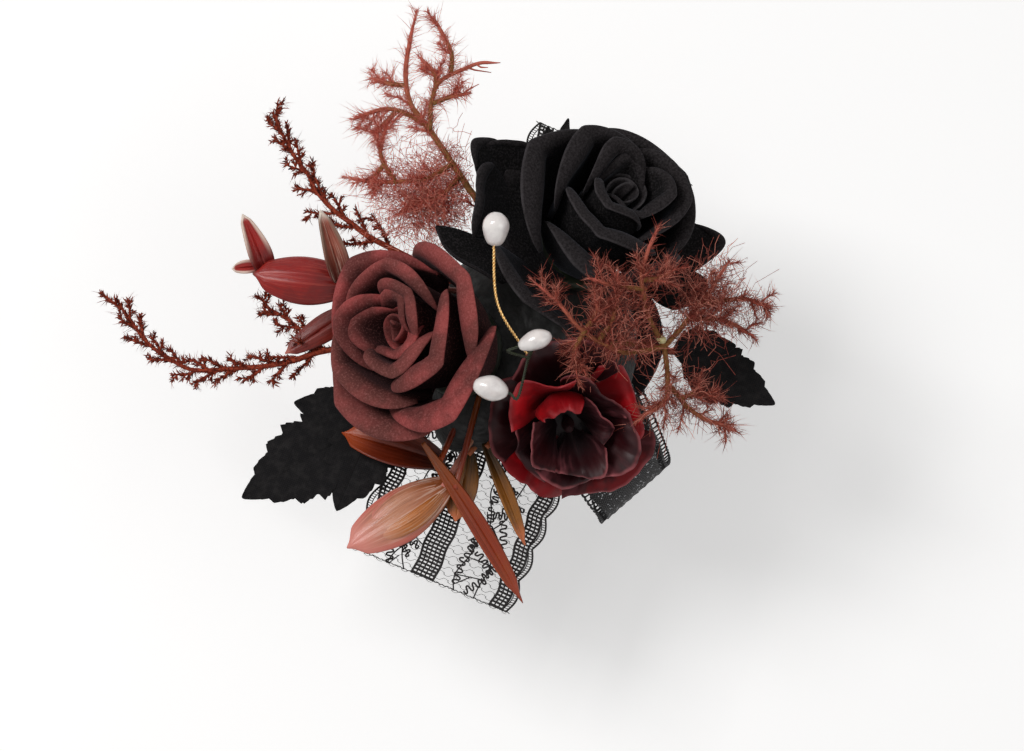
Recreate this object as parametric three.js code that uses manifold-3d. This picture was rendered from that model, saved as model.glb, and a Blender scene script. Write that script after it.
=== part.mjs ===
// Wrist corsage: a velvet rose, a foam rose and a silk flower with pods, serrated leaves, heather, smoke
// sprigs and a pearl spray, bound on a lace strip over an oval felt pad that a stretch wristband holds.
// Millimetres, +Z up out of the back of the wrist, +X along the forearm towards the elbow, Y across the
// wrist. The origin is the centre of the pad's underside, where it lies on the skin.
import * as THREE from "three";
import { mergeVertices } from "three/addons/utils/BufferGeometryUtils.js";
import Module from "manifold-3d";

const wasm = await Module();
wasm.setup();

// Clearance between two pieces that touch
const seatGap = 0.3;
const up = new THREE.Vector3(0, 0, 1);

// Pad, wristband, base disc and lace, from the skin outwards
const pad = { length: 60, width: 46, thickness: 1.6 };
const band = {
  width: 24,
  thickness: 1,
  overhang: 1,
  shoulderRadius: 5,
  sideBottom: 15,
  depth: 38,
  bulge: 9,
  slant: 7,
  offset: 4,
  // On the thumb's side the edge near the hand stands further off the wrist, from this drop and reach on
  splay: 8,
  splayDrop: 18,
  splayInset: 6,
  splayReach: 24,
};
const disc = { radius: 24, thickness: 1.6 };
const lace = {
  length: 120,
  width: 45,
  thickness: 0.6,
  scallops: 14,
  scallopDepth: 1.4,
  rungWidth: 1.6,
  slotsPerRow: 16,
  slotWidth: 2.2,
  borderInset: 4,
  angle: THREE.MathUtils.degToRad(44),
  centre: [-7.5, -0.5],
};
const mound = { radius: 27, height: 9, centre: [-4, 3], edgeHeight: 1 };

const padTop = pad.thickness;
const bandMid = padTop + seatGap + band.thickness / 2;
const bandTop = bandMid + band.thickness / 2;
const discBottom = bandTop + seatGap;
const discTop = discBottom + disc.thickness;
const laceBottom = discTop + seatGap;
const laceTop = laceBottom + lace.thickness;
const moundBottom = laceTop + seatGap;

const colours = {
  felt: 0x1b1a1c,
  elastic: 0x16161a,
  lace: 0x141316,
  glue: 0x2a2522,
  velvet: 0x19171a,
  foam: 0x7a3d42,
  silk: 0x66101c,
  calyx: 0x24301f,
  leaf: 0x211f21,
  pod: 0x84302a,
  pinkPod: 0xd08c80,
  rust: 0x9a4522,
  heather: 0x6c2a22,
  smoke: 0x9c5450,
  wire: 0xcda564,
  pearl: 0xf1ece6,
};

const corsage = new THREE.Group();
// Solids that the binding mound is cut by, so that each stem has a seat of its own shape
const moundCutters = [];

const degrees = THREE.MathUtils.degToRad;
const vector = (x, y, z) => new THREE.Vector3(x, y, z);
const mix = (a, b, share) => a + (b - a) * share;
const eased = (share) => THREE.MathUtils.smoothstep(share, 0, 1);

function material(colour, roughness, metalness = 0) {
  return new THREE.MeshStandardMaterial({ color: colour, roughness, metalness });
}

function solidFrom(geometry) {
  const plain = new THREE.BufferGeometry();
  plain.setAttribute("position", geometry.getAttribute("position").clone());
  if (geometry.index) plain.setIndex(geometry.index.clone());
  const merged = mergeVertices(plain);
  return new wasm.Manifold(
    new wasm.Mesh({
      numProp: 3,
      vertProperties: merged.attributes.position.array,
      triVerts: new Uint32Array(merged.index.array),
    }),
  );
}

function geometryFrom(solid) {
  const mesh = solid.getMesh();
  const geometry = new THREE.BufferGeometry();
  geometry.setAttribute("position", new THREE.BufferAttribute(mesh.vertProperties, 3));
  geometry.setIndex(new THREE.BufferAttribute(mesh.triVerts, 1));
  geometry.computeVertexNormals();
  return geometry;
}

function joined(geometries) {
  return geometryFrom(geometries.map(solidFrom).reduce((whole, next) => whole.add(next)));
}

function signedVolume(points, triangles) {
  let sum = 0;
  for (let i = 0; i < triangles.length; i += 3) {
    const [a, b, c] = [0, 1, 2].map((k) => points[triangles[i + k]]);
    sum += a.dot(vector().crossVectors(b, c));
  }
  return sum;
}

function closedGeometry(points, triangles) {
  if (signedVolume(points, triangles) < 0) triangles.reverse();
  const geometry = new THREE.BufferGeometry().setFromPoints(points);
  geometry.setIndex(triangles);
  geometry.computeVertexNormals();
  return geometry;
}

// A curved sheet: surface(u, v) is its middle, and us and vs are the grid's shares. Its thickness is one
// value or a function of u and v.
function sheetGeometry(surface, us, vs, thickness) {
  const depthAt = typeof thickness === "function" ? thickness : () => thickness;
  const columns = us.length;
  const rows = vs.length;
  const middle = vs.map((v) => us.map((u) => surface(u, v)));
  const clampedStep = (list, i, step) => list[Math.min(list.length - 1, Math.max(0, i + step))];
  const normal = (row, column) => {
    const across = clampedStep(middle[row], column, 1).clone();
    across.sub(clampedStep(middle[row], column, -1));
    const along = clampedStep(middle, row, 1)[column].clone();
    along.sub(clampedStep(middle, row, -1)[column]);
    return across.cross(along).normalize();
  };
  const points = [];
  for (const side of [0.5, -0.5])
    for (let row = 0; row < rows; row++)
      for (let column = 0; column < columns; column++) {
        const depth = side * depthAt(us[column], vs[row]);
        points.push(middle[row][column].clone().addScaledVector(normal(row, column), depth));
      }
  const at = (layer, row, column) => (layer * rows + row) * columns + column;
  const triangles = [];
  const quad = (a, b, c, d) => triangles.push(a, b, c, a, c, d);
  for (let row = 0; row + 1 < rows; row++)
    for (let column = 0; column + 1 < columns; column++) {
      quad(at(0, row, column), at(0, row, column + 1), at(0, row + 1, column + 1), at(0, row + 1, column));
      quad(at(1, row, column), at(1, row + 1, column), at(1, row + 1, column + 1), at(1, row, column + 1));
    }
  const rim = [];
  for (let column = 0; column + 1 < columns; column++) rim.push([0, column]);
  for (let row = 0; row + 1 < rows; row++) rim.push([row, columns - 1]);
  for (let column = columns - 1; column > 0; column--) rim.push([rows - 1, column]);
  for (let row = rows - 1; row > 0; row--) rim.push([row, 0]);
  rim.forEach(([row, column], i) => {
    const [nextRow, nextColumn] = rim[(i + 1) % rim.length];
    quad(at(0, row, column), at(1, row, column), at(1, nextRow, nextColumn), at(0, nextRow, nextColumn));
  });
  return closedGeometry(points, triangles);
}

const evenShares = (count) => Array.from({ length: count + 1 }, (_, i) => i / count);

// A round stem along a smooth curve through the points, from one radius to another
function stemGeometry(points, startRadius, endRadius, sides = 6, steps = 2 * (points.length - 1)) {
  const curve = new THREE.CatmullRomCurve3(points, false, "centripetal");
  const frames = curve.computeFrenetFrames(steps, false);
  const ring = [];
  for (let i = 0; i <= steps; i++) {
    const centre = curve.getPointAt(i / steps);
    const radius = mix(startRadius, endRadius, i / steps);
    for (let k = 0; k < sides; k++) {
      const turn = (2 * Math.PI * k) / sides;
      const point = centre.clone();
      point.addScaledVector(frames.normals[i], radius * Math.cos(turn));
      ring.push(point.addScaledVector(frames.binormals[i], radius * Math.sin(turn)));
    }
  }
  const triangles = [];
  for (let i = 0; i < steps; i++)
    for (let k = 0; k < sides; k++) {
      const a = i * sides + k;
      const b = i * sides + ((k + 1) % sides);
      triangles.push(a, b, b + sides, a, b + sides, a + sides);
    }
  for (let k = 1; k + 1 < sides; k++) {
    triangles.push(0, k + 1, k);
    triangles.push(steps * sides, steps * sides + k, steps * sides + k + 1);
  }
  return closedGeometry(ring, triangles);
}

// A solid of revolution about Z from a profile of [radius, height] pairs that starts and ends on the axis
function turnedGeometry(profile, segments) {
  const points = profile.map(([radius, height]) => new THREE.Vector2(radius, height));
  return new THREE.LatheGeometry(points, segments).rotateX(Math.PI / 2);
}

function addMesh(parent, name, geometry, look) {
  const mesh = new THREE.Mesh(geometry, look);
  mesh.name = name;
  parent.add(mesh);
  return mesh;
}

// A group whose +Z points along the axis
function leaningGroup(position, axis) {
  const group = new THREE.Group();
  group.position.set(...position);
  group.quaternion.setFromUnitVectors(up, vector(...axis).normalize());
  corsage.add(group);
  return group;
}

// A group rooted in the binding mound, whose +X heads out from it. The root's radius and height are shares
// of the mound's, bearing and heading are measured from +X about +Z, and pitch lifts +X.
function rootedGroup({ bearing, radiusShare, heightShare, heading = bearing, pitch, roll = 0 }) {
  const group = new THREE.Group();
  const radius = radiusShare * mound.radius;
  group.position.set(
    mound.centre[0] + radius * Math.cos(degrees(bearing)),
    mound.centre[1] + radius * Math.sin(degrees(bearing)),
    moundBottom + heightShare * mound.height,
  );
  group.rotation.set(degrees(roll), -degrees(pitch), degrees(heading), "ZYX");
  corsage.add(group);
  return group;
}

function cutMoundBy(group, geometry) {
  corsage.updateMatrixWorld(true);
  moundCutters.push(geometry.clone().applyMatrix4(group.matrixWorld));
}

// The seat of a straight stem end along the group's +X
function cutStemSeat(group, radius, length) {
  const points = [vector(-seatGap, 0, 0), vector(length, 0, 0)];
  cutMoundBy(group, stemGeometry(points, radius + seatGap, radius + seatGap, 6, 1));
}

// A route in a group's frame from shares of its length
const route = (shares, length) => shares.map(([x, y, z]) => vector(x * length, y * length, z * length));

// Pad, base disc and wristband
function ovalShape(length, width) {
  const shape = new THREE.Shape();
  shape.absellipse(0, 0, length / 2, width / 2, 0, 2 * Math.PI, false);
  return shape;
}

function addPadAndDisc() {
  const flat = { bevelEnabled: false, curveSegments: 14 };
  const oval = ovalShape(pad.length, pad.width);
  const padGeometry = new THREE.ExtrudeGeometry(oval, { ...flat, depth: pad.thickness });
  addMesh(corsage, "backing_pad", padGeometry, material(colours.felt, 0.95));
  const round = ovalShape(2 * disc.radius, 2 * disc.radius);
  const discGeometry = new THREE.ExtrudeGeometry(round, { ...flat, depth: disc.thickness });
  const mesh = addMesh(corsage, "base_disc", discGeometry, material(colours.felt, 0.95));
  mesh.position.set(mound.centre[0], mound.centre[1], discBottom);
}

// A stretch of the wristband, whose path(v) gives y and z. It slants along the forearm as it goes down.
function bandStretch(name, path, vs) {
  const surface = (u, v) => {
    const [y, z] = path(v);
    const slant = (band.slant * (bandMid - z)) / (bandMid + band.depth);
    const loose = eased((bandMid - z) / band.splayDrop) * eased((-y - band.splayInset) / band.splayReach);
    return vector(band.offset + slant + (u - 0.5) * band.width, y - band.splay * loose * (1 - u), z);
  };
  const geometry = sheetGeometry(surface, evenShares(2), vs, band.thickness);
  addMesh(corsage, name, geometry, material(colours.elastic, 0.7));
}

function addWristband() {
  const flatHalf = pad.width / 2 + band.overhang;
  const shoulderY = flatHalf + band.shoulderRadius;
  const shoulderZ = bandMid - band.shoulderRadius;
  const shoulder = (sign, turn) => [
    sign * (flatHalf + band.shoulderRadius * Math.cos(turn)),
    shoulderZ + band.shoulderRadius * Math.sin(turn),
  ];
  // The top runs over the wrist between two quarter turns
  const topPath = (v) => {
    if (v < 0.25) return shoulder(-1, 2 * Math.PI * v);
    if (v > 0.75) return shoulder(1, 2 * Math.PI * (1 - v));
    return [mix(-flatHalf, flatHalf, 2 * v - 0.5), bandMid];
  };
  bandStretch("wristband_top", topPath, [0, 0.08, 0.17, 0.25, 0.5, 0.75, 0.83, 0.92, 1]);
  // The sides stretch; the one on the thumb's side hangs looser
  const sideFoot = { a: shoulderY, b: -shoulderY - band.bulge / 2 };
  const sideTop = shoulderZ - seatGap;
  const sides = { a: shoulderY, b: -shoulderY };
  for (const [key, y] of Object.entries(sides)) {
    const path = (v) => [mix(y, sideFoot[key], v), mix(sideTop, -band.sideBottom, v)];
    bandStretch("wristband_side_" + key, path, evenShares(3));
  }
  // The bottom is half an oval that bulges on the loose side
  const bottomTop = -band.sideBottom - seatGap;
  const bottomPath = (v) => {
    const turn = Math.PI * v;
    const half = Math.cos(turn) > 0 ? sideFoot.a : -sideFoot.b;
    const bulge = (band.bulge / 2) * Math.max(0, v - 0.5) * Math.sin(turn) * 4;
    return [half * Math.cos(turn) - bulge, bottomTop - (band.depth + bottomTop) * Math.sin(turn)];
  };
  bandStretch("wristband_bottom", bottomPath, evenShares(16));
}

// The lace strip, with scalloped long edges, a ladder of slots inside each and one along the middle
function addLace() {
  const half = lace.length / 2;
  const shape = new THREE.Shape();
  const edge = [];
  const stepsPerScallop = 4;
  const steps = lace.scallops * stepsPerScallop;
  for (let i = 0; i <= steps; i++) {
    const along = mix(-half, half, i / steps);
    const wave = Math.abs(Math.sin((Math.PI * i) / stepsPerScallop));
    edge.push(new THREE.Vector2(along, lace.width / 2 - lace.scallopDepth * (1 - wave)));
  }
  const otherEdge = edge.map((point) => new THREE.Vector2(point.x, -point.y)).reverse();
  shape.setFromPoints([...otherEdge, ...edge].reverse());
  const slotPitch = (lace.length - lace.rungWidth) / lace.slotsPerRow;
  const border = lace.width / 2 - lace.borderInset;
  const waves = (2 * Math.PI * lace.scallops) / lace.length;
  const wave = (along) => (lace.scallopDepth / 4) * Math.cos(waves * along);
  for (const row of [-border, 0, border])
    for (let i = 0; i < lace.slotsPerRow; i++) {
      const left = -half + lace.rungWidth + i * slotPitch;
      const right = left + slotPitch - lace.rungWidth;
      const corner = (along, side) => {
        const across = row + wave(along) + (side * lace.slotWidth) / 2;
        return new THREE.Vector2(along, across);
      };
      const slot = [corner(left, -1), corner(right, -1), corner(right, 1), corner(left, 1)];
      shape.holes.push(new THREE.Path(slot));
    }
  const geometry = new THREE.ExtrudeGeometry(shape, { depth: lace.thickness, bevelEnabled: false });
  const mesh = addMesh(corsage, "lace_strip", geometry, material(colours.lace, 0.8));
  mesh.position.set(lace.centre[0], lace.centre[1], laceBottom);
  mesh.rotation.z = lace.angle;
}

// Blooms. A lobe of a guard petal: its turn about the rose, its rim's radius and height, half its span, its
// rolled lip, how much further out one side reaches, and how far its tip narrows or, below 0, squares.
const lobe = (turn, rimRadius, height, halfSpan, lipRadius, skewShare, pointShare) => ({
  turn,
  rimRadius,
  height,
  halfSpan,
  lipRadius,
  skewShare,
  pointShare,
});
const roses = {
  black_rose: {
    centre: [16, 20.5, 15.4],
    axis: [0.44, 0.09, 0.893],
    calyxRadius: 12.2,
    stemRadius: 2.2,
    stemLength: 8.5,
    colour: colours.velvet,
    petalThickness: 0.9,
    core: { innerRadius: 1.5, turnPitch: 1.55, turns: 1.5, height: 23 },
    heart: { lean: 5.2, heading: 19 },
    clearRadius: 22,
    guardBase: 10.9,
    layers: [
      {
        ...{ name: "inner", count: 3, turn: 205, halfSpan: 73, lipRadius: 1.2, pinwheel: 1.5 },
        ...{ baseRadius: 5.4, rimRadius: 8.4, height: 26 },
      },
      {
        ...{ name: "middle", count: 3, turn: 218, halfSpan: 72, lipRadius: 1.6, pinwheel: 1.8 },
        ...{ baseRadius: 7.2, rimRadius: 14, height: 24 },
      },
      {
        ...{ name: "outer", count: 3, turn: 5, halfSpan: 70, lipRadius: 2, pinwheel: 2 },
        ...{ baseRadius: 8.9, rimRadius: 19.6, height: 19.5 },
      },
    ],
    guards: [
      [
        lobe(113, 29.2, 9, 13, 0.5, 0.14, 0),
        lobe(125, 34, 9.5, 13, 0.8, 0, 0.2),
        lobe(147, 29.2, 9, 22, 1.2, 0.02, -0.05),
        lobe(177, 35, 3.5, 17, 0.4, -0.19, 0.1),
        lobe(208, 29, 10, 33, 1.8, 0.05, 0),
      ],
      [
        lobe(-47, 32, 6, 15, 0.8, 0, 0.2),
        lobe(-21, 34.3, 7, 15, 0.8, 0, 0.2),
        lobe(18, 27, 6, 18, 0.8, 0, 0.2),
      ],
    ],
  },
  marsala_rose: {
    centre: [-22, 7.1, 14.8],
    axis: [-0.522, 0.139, 0.842],
    calyxRadius: 11.8,
    stemRadius: 2.2,
    stemLength: 8.5,
    colour: colours.foam,
    petalThickness: 1.2,
    core: { innerRadius: 1.5, turnPitch: 1.9, turns: 1.5, height: 22 },
    heart: { lean: 6.2, heading: 122 },
    clearRadius: 18,
    layers: [
      {
        ...{ name: "inner", count: 3, turn: 20, halfSpan: 73, lipRadius: 1.3, pinwheel: 2 },
        ...{ baseRadius: 6.2, rimRadius: 9.4, height: 26 },
      },
      {
        ...{ name: "middle", count: 3, turn: 66, halfSpan: 70, lipRadius: 1.6, pinwheel: 2.1 },
        ...{ baseRadius: 8.3, rimRadius: 14.4, height: 25.5 },
      },
      {
        ...{ name: "outer", count: 4, turn: 102, halfSpan: 60, lipRadius: 2, pinwheel: 2.6 },
        ...{ baseRadius: 10.4, rimRadius: 19.6, height: 21 },
      },
    ],
    guards: [],
  },
};
const heartReach = 23;
const guardPinwheel = 0.6;
const wallShare = 0.7;
const lipTurn = degrees(150);
const petalDropShare = 0.15;
const cupPower = 0.62;
const calyxSegments = 14;

// A cupped petal on the receptacle, whose rim rolls outwards; across it the wall leans from one side to the
// other, so that each petal laps over the next like a pinwheel
function petalSurface(petal, thickness) {
  const petalFoot = seatGap + thickness / 2;
  const { skewShare = 0, pointShare = 0 } = petal;
  return (u, v) => {
    const side = 2 * u - 1;
    const narrowing = 1 - 0.75 * Math.max(0, pointShare) * eased((v - 0.45) / 0.55);
    const spanShare = (0.35 + 0.65 * Math.sin((Math.PI / 2) * Math.min(1, v / 0.6))) * narrowing;
    const angle = degrees(petal.halfSpan) * side * spanShare;
    const rise = Math.min(1, v / wallShare);
    const rim = petal.height * (1 - petalDropShare * side * side);
    const reach = petal.rimRadius * (1 + skewShare * side - (pointShare / 2) * side * side);
    let radius = mix(petal.baseRadius, reach, rise ** cupPower);
    let height = mix(petalFoot, rim, rise);
    if (v > wallShare) {
      const curl = ((v - wallShare) / (1 - wallShare)) * lipTurn;
      const lip = petal.lipRadius * Math.max(0.15, 1 - side * side) ** 0.7;
      radius += lip * (1 - Math.cos(curl));
      height += lip * Math.sin(curl);
    }
    radius += petal.pinwheel * side * (0.2 + 0.8 * v);
    return vector(radius * Math.cos(angle), radius * Math.sin(angle), height);
  };
}

// The rolled bud at a rose's centre: one strip wound in a spiral
function coreSurface({ innerRadius, turnPitch, turns, height }) {
  return (u, v) => {
    const turn = 2 * Math.PI * turns * u;
    const radius = innerRadius + turnPitch * turns * u + 0.08 * innerRadius * v;
    const top = height * (0.86 + 0.14 * Math.cos(turn / 2) ** 2);
    return vector(radius * Math.cos(turn), radius * Math.sin(turn), mix(seatGap, top, v));
  };
}

// Leans a rose's heart towards one side, less and less towards its outer petals
function leanHeart(geometry, { heart, core }) {
  const points = geometry.getAttribute("position");
  const point = vector(0, 0, 0);
  const way = vector(Math.cos(degrees(heart.heading)), Math.sin(degrees(heart.heading)), 0);
  for (let i = 0; i < points.count; i++) {
    point.fromBufferAttribute(points, i);
    const fade = Math.max(0, 1 - (point.x ** 2 + point.y ** 2) / heartReach ** 2);
    const rise = THREE.MathUtils.clamp(point.z / core.height, 0, 1.2);
    point.addScaledVector(way, heart.lean * rise * fade);
    points.setXYZ(i, point.x, point.y, point.z);
  }
  return geometry;
}

// A receptacle that carries a bloom's petals on its flat top, and its wired stem
function calyxProfile({ calyxRadius, stemRadius, stemLength }, grow = 0) {
  return [
    [0, -stemLength - grow],
    [stemRadius + grow, -stemLength - grow],
    [stemRadius + grow, -stemLength / 2],
    [calyxRadius + grow, -calyxRadius / 5],
    [calyxRadius + grow, 0],
    [0, 0],
  ];
}

function seatBloom(group, bloom) {
  const profile = calyxProfile(bloom, seatGap).slice(0, -1);
  profile.push([bloom.clearRadius, bloom.calyxRadius], [0, bloom.calyxRadius]);
  cutMoundBy(group, turnedGeometry(profile, calyxSegments));
}

// The strip at the foot of a guard petal, which its lobes grow from
function guardFoot({ guardBase, petalThickness }, lobes) {
  const from = lobes[0].turn - lobes[0].halfSpan / 3;
  const to = lobes[lobes.length - 1].turn + lobes[lobes.length - 1].halfSpan / 3;
  const surface = (u, v) => {
    const turn = degrees(mix(from, to, u));
    const radius = guardBase + petalThickness * (2 * v - 0.5);
    return vector(radius * Math.cos(turn), radius * Math.sin(turn), seatGap + petalThickness / 2);
  };
  return sheetGeometry(surface, evenShares(8), [0, 1], petalThickness);
}

function addRose(name, rose) {
  const group = leaningGroup(rose.centre, rose.axis);
  const look = material(rose.colour, 0.9);
  const calyx = turnedGeometry(calyxProfile(rose), calyxSegments);
  addMesh(group, name + "_calyx", calyx, material(colours.calyx, 0.8));
  const core = sheetGeometry(coreSurface(rose.core), evenShares(14), [0, 0.5, 1], rose.petalThickness);
  addMesh(group, name + "_bud_roll", leanHeart(core, rose), look);
  const rows = [0, 0.2, 0.42, wallShare, 0.8, 0.9, 1];
  const guardRows = [0, 0.2, wallShare, 0.85, 1];
  for (const layer of rose.layers)
    for (let i = 0; i < layer.count; i++) {
      const surface = petalSurface(layer, rose.petalThickness);
      const petal = sheetGeometry(surface, evenShares(5), rows, rose.petalThickness);
      petal.rotateZ(degrees(layer.turn + (360 / layer.count) * i));
      addMesh(group, `${name}_petal_${layer.name}_${i + 1}`, leanHeart(petal, rose), look);
    }
  rose.guards.forEach((lobes, i) => {
    const pieces = [guardFoot(rose, lobes)];
    for (const shape of lobes) {
      const petal = { ...shape, baseRadius: rose.guardBase, pinwheel: guardPinwheel };
      const surface = petalSurface(petal, rose.petalThickness);
      const piece = sheetGeometry(surface, evenShares(4), guardRows, rose.petalThickness);
      pieces.push(piece.rotateZ(degrees(shape.turn)));
    }
    addMesh(group, `${name}_petal_guard_${i + 1}`, joined(pieces), look);
  });
  seatBloom(group, rose);
}

const silkFlower = {
  centre: [-3.9, -18.6, 15.4],
  axis: [-0.117, -0.533, 0.838],
  calyxRadius: 7,
  stemRadius: 2,
  stemLength: 8,
  clearRadius: 16,
  petalThickness: 0.6,
  discThickness: 0.5,
  discRim: 1,
  pipRadius: 1.8,
  whorls: [
    {
      ...{ name: "outer", count: 5, halfSpan: 44, ruffle: 1.3, crease: 1.2, droop: 1.4 },
      ...{ baseRadius: 5.2, rimRadius: 20.5, height: 8 },
    },
    {
      ...{ name: "middle", count: 5, halfSpan: 44, ruffle: 1.2, crease: 1.2, droop: 1.2 },
      ...{ baseRadius: 3.8, rimRadius: 15.5, height: 14 },
    },
    {
      ...{ name: "inner", count: 4, halfSpan: 46, ruffle: 0.9, crease: 0.8, droop: 0.8 },
      ...{ baseRadius: 2.6, rimRadius: 11, height: 17 },
    },
  ],
};

// A sharp fold for each whole number that x passes, between -0.5 and 0.5
const foldAt = (x) => 2 * Math.abs(x - Math.floor(x) - 0.5) - 0.5;

// A thin petal with creases that fan out to a waved rim; no two of a whorl are alike
function ruffledPetalSurface(whorl, foot, petalIndex) {
  const rimRadius = whorl.rimRadius * (1 + 0.08 * Math.sin(2.4 * petalIndex + whorl.count));
  const rimHeight = whorl.height * (1 + 0.14 * Math.cos(1.9 * petalIndex + whorl.count));
  return (u, v) => {
    const side = 2 * u - 1;
    const spanShare = 0.3 + 0.7 * Math.sin((Math.PI / 2) * Math.min(1, v / 0.7));
    const angle = degrees(whorl.halfSpan) * side * spanShare;
    const reach = mix(whorl.baseRadius, rimRadius, v * (1 - 0.12 * side * side));
    const ruffle = whorl.ruffle * Math.sin(3.5 * Math.PI * u + whorl.count);
    const creases = whorl.crease * foldAt(2.6 * u + petalIndex / 3);
    const droop = whorl.droop * Math.max(0, (v - 0.7) / 0.3) ** 2;
    const height = mix(foot, rimHeight, v ** 1.4) + (ruffle + creases) * v * v - droop;
    return vector(reach * Math.cos(angle), reach * Math.sin(angle), height);
  };
}

// The silk flower: each whorl is one stamped piece of petals round a disc, threaded on the stem
function addSilkFlower() {
  const group = leaningGroup(silkFlower.centre, silkFlower.axis);
  const look = material(colours.silk, 0.75);
  const profile = calyxProfile(silkFlower);
  const calyx = turnedGeometry(profile, calyxSegments);
  addMesh(group, "silk_flower_calyx", calyx, material(colours.calyx, 0.8));
  const layerStep = silkFlower.discThickness + seatGap;
  silkFlower.whorls.forEach((whorl, i) => {
    const foot = seatGap + i * layerStep;
    const discProfile = [
      [0, foot],
      [whorl.baseRadius + silkFlower.discRim, foot],
      [whorl.baseRadius + silkFlower.discRim, foot + silkFlower.discThickness],
      [0, foot + silkFlower.discThickness],
    ];
    const pieces = [turnedGeometry(discProfile, 12)];
    for (let k = 0; k < whorl.count; k++) {
      const surface = ruffledPetalSurface(whorl, foot + silkFlower.discThickness / 2, k);
      const petal = sheetGeometry(surface, evenShares(4), evenShares(3), silkFlower.petalThickness);
      pieces.push(petal.rotateZ(degrees((360 / whorl.count) * (k + i / 2))));
    }
    addMesh(group, "silk_flower_whorl_" + whorl.name, joined(pieces), look);
  });
  const pipFoot = silkFlower.whorls.length * layerStep + seatGap;
  const pip = turnedGeometry(
    [
      [0, pipFoot],
      [silkFlower.pipRadius / 2, pipFoot],
      [silkFlower.pipRadius, pipFoot + 2 * silkFlower.pipRadius],
      [silkFlower.pipRadius / 2, pipFoot + 4 * silkFlower.pipRadius],
      [0, pipFoot + 4 * silkFlower.pipRadius],
    ],
    10,
  );
  addMesh(group, "silk_flower_pip", pip, material(colours.silk, 0.7));
  seatBloom(group, silkFlower);
}

// Serrated fabric leaves
function serratedOutline({ length, width, teeth, toothShare }) {
  const side = [];
  for (let i = 0; i < teeth; i++) {
    const start = i / teeth;
    const tip = (i + 0.85) / teeth;
    const half = (share) => (width / 2) * Math.sin(Math.PI * Math.min(1, share ** 0.75));
    side.push([start * length, half(start) * (1 - toothShare) + width * 0.02]);
    side.push([tip * length, half(start + 0.5 / teeth) * (1 + toothShare)]);
  }
  const right = side.map(([x, y]) => new THREE.Vector2(x, -y));
  const left = side.map(([x, y]) => new THREE.Vector2(x, y)).reverse();
  return new THREE.Shape([...right, new THREE.Vector2(length, 0), ...left]);
}

const leafThickness = 0.5;
const petiole = { radius: 0.9, seat: 9 };

// A spray of leaflets on one petiole. Each leaflet has its place along the petiole and its turn.
function addLeafSpray(name, root, leaflets) {
  const group = rootedGroup(root);
  const { stemLength } = root;
  const stem = [vector(0, 0, 0), vector(petiole.seat, 0, 0), vector(stemLength, 0, 0)];
  const pieces = [stemGeometry(stem, petiole.radius, petiole.radius, 6, 2)];
  for (const leaflet of leaflets) {
    const shape = serratedOutline(leaflet);
    const blade = new THREE.ExtrudeGeometry(shape, { depth: leafThickness, bevelEnabled: false });
    blade.translate(0, 0, -leafThickness / 2);
    blade.rotateZ(degrees(leaflet.turn));
    pieces.push(blade.translate(leaflet.stemShare * stemLength, 0, 0));
  }
  addMesh(group, name, joined(pieces), material(colours.leaf, 0.9));
  cutStemSeat(group, petiole.radius, stemLength);
}

function addLeaves() {
  const low = { radiusShare: 0.72, heightShare: 0.13, pitch: 0 };
  const fabric = { toothShare: 0.16 };
  addLeafSpray("leaf_spray_left", { ...low, bearing: 184, stemLength: 32 }, [
    { ...fabric, length: 34, width: 20, teeth: 6, stemShare: 0.9, turn: 4 },
    { ...fabric, length: 22, width: 15, teeth: 5, stemShare: 0.72, turn: -38 },
    { ...fabric, length: 25, width: 16, teeth: 5, stemShare: 0.75, turn: 40 },
  ]);
  addLeafSpray("leaf_spray_right", { ...low, bearing: -26, stemLength: 22 }, [
    { ...fabric, length: 27, width: 15, teeth: 6, stemShare: 0.85, turn: -27 },
    { ...fabric, length: 16, width: 11, teeth: 4, stemShare: 0.75, turn: 8 },
  ]);
  addLeafSpray("leaf_spray_back", { ...low, bearing: 62, pitch: 3.5, stemLength: 20 }, [
    { ...fabric, length: 21.4, width: 8, teeth: 5, stemShare: 0.8, turn: 1 },
    { ...fabric, length: 24.2, width: 8, teeth: 5, stemShare: 0.8, turn: -11 },
    { ...fabric, length: 31.5, width: 11, teeth: 6, stemShare: 0.85, turn: -55 },
  ]);
}

// Glossy pods: cupped blades on wired stems. A blade's cup is below 0 where its back is up. Its bow curves
// it sideways, its fullness closes it into a bud, and the stem meets it at its foot share.
const podThickness = 0.7;
const podStem = { radius: 0.8 };
const plainBlade = { bow: 0, fullness: 0, footShare: 0.05, widestShare: 0.49 };

function podSurface({ length, width, cup, arch, bow, fullness, widestShare }) {
  const swellPower = Math.log(0.5) / Math.log(0.06 + 0.9 * widestShare);
  const domed = fullness > 0 ? { middle: 0.72, edge: 0.2 } : { middle: 0, edge: 1 };
  return (u, v) => {
    const side = 2 * u - 1;
    const roundTip = 1 - 0.9 * eased((v - 0.86) / 0.14);
    const swell = Math.sin(Math.PI * (0.06 + 0.9 * v) ** swellPower) ** 0.8;
    const half = (width / 2) * (0.12 + 0.88 * swell) * roundTip;
    const cupping = cup * (domed.middle + domed.edge * side * side) * Math.sin(Math.PI * v);
    return vector(length * v, half * side + 4 * bow * v * (1 - v), cupping - arch * (2 * v - 1) ** 2);
  };
}

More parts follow.
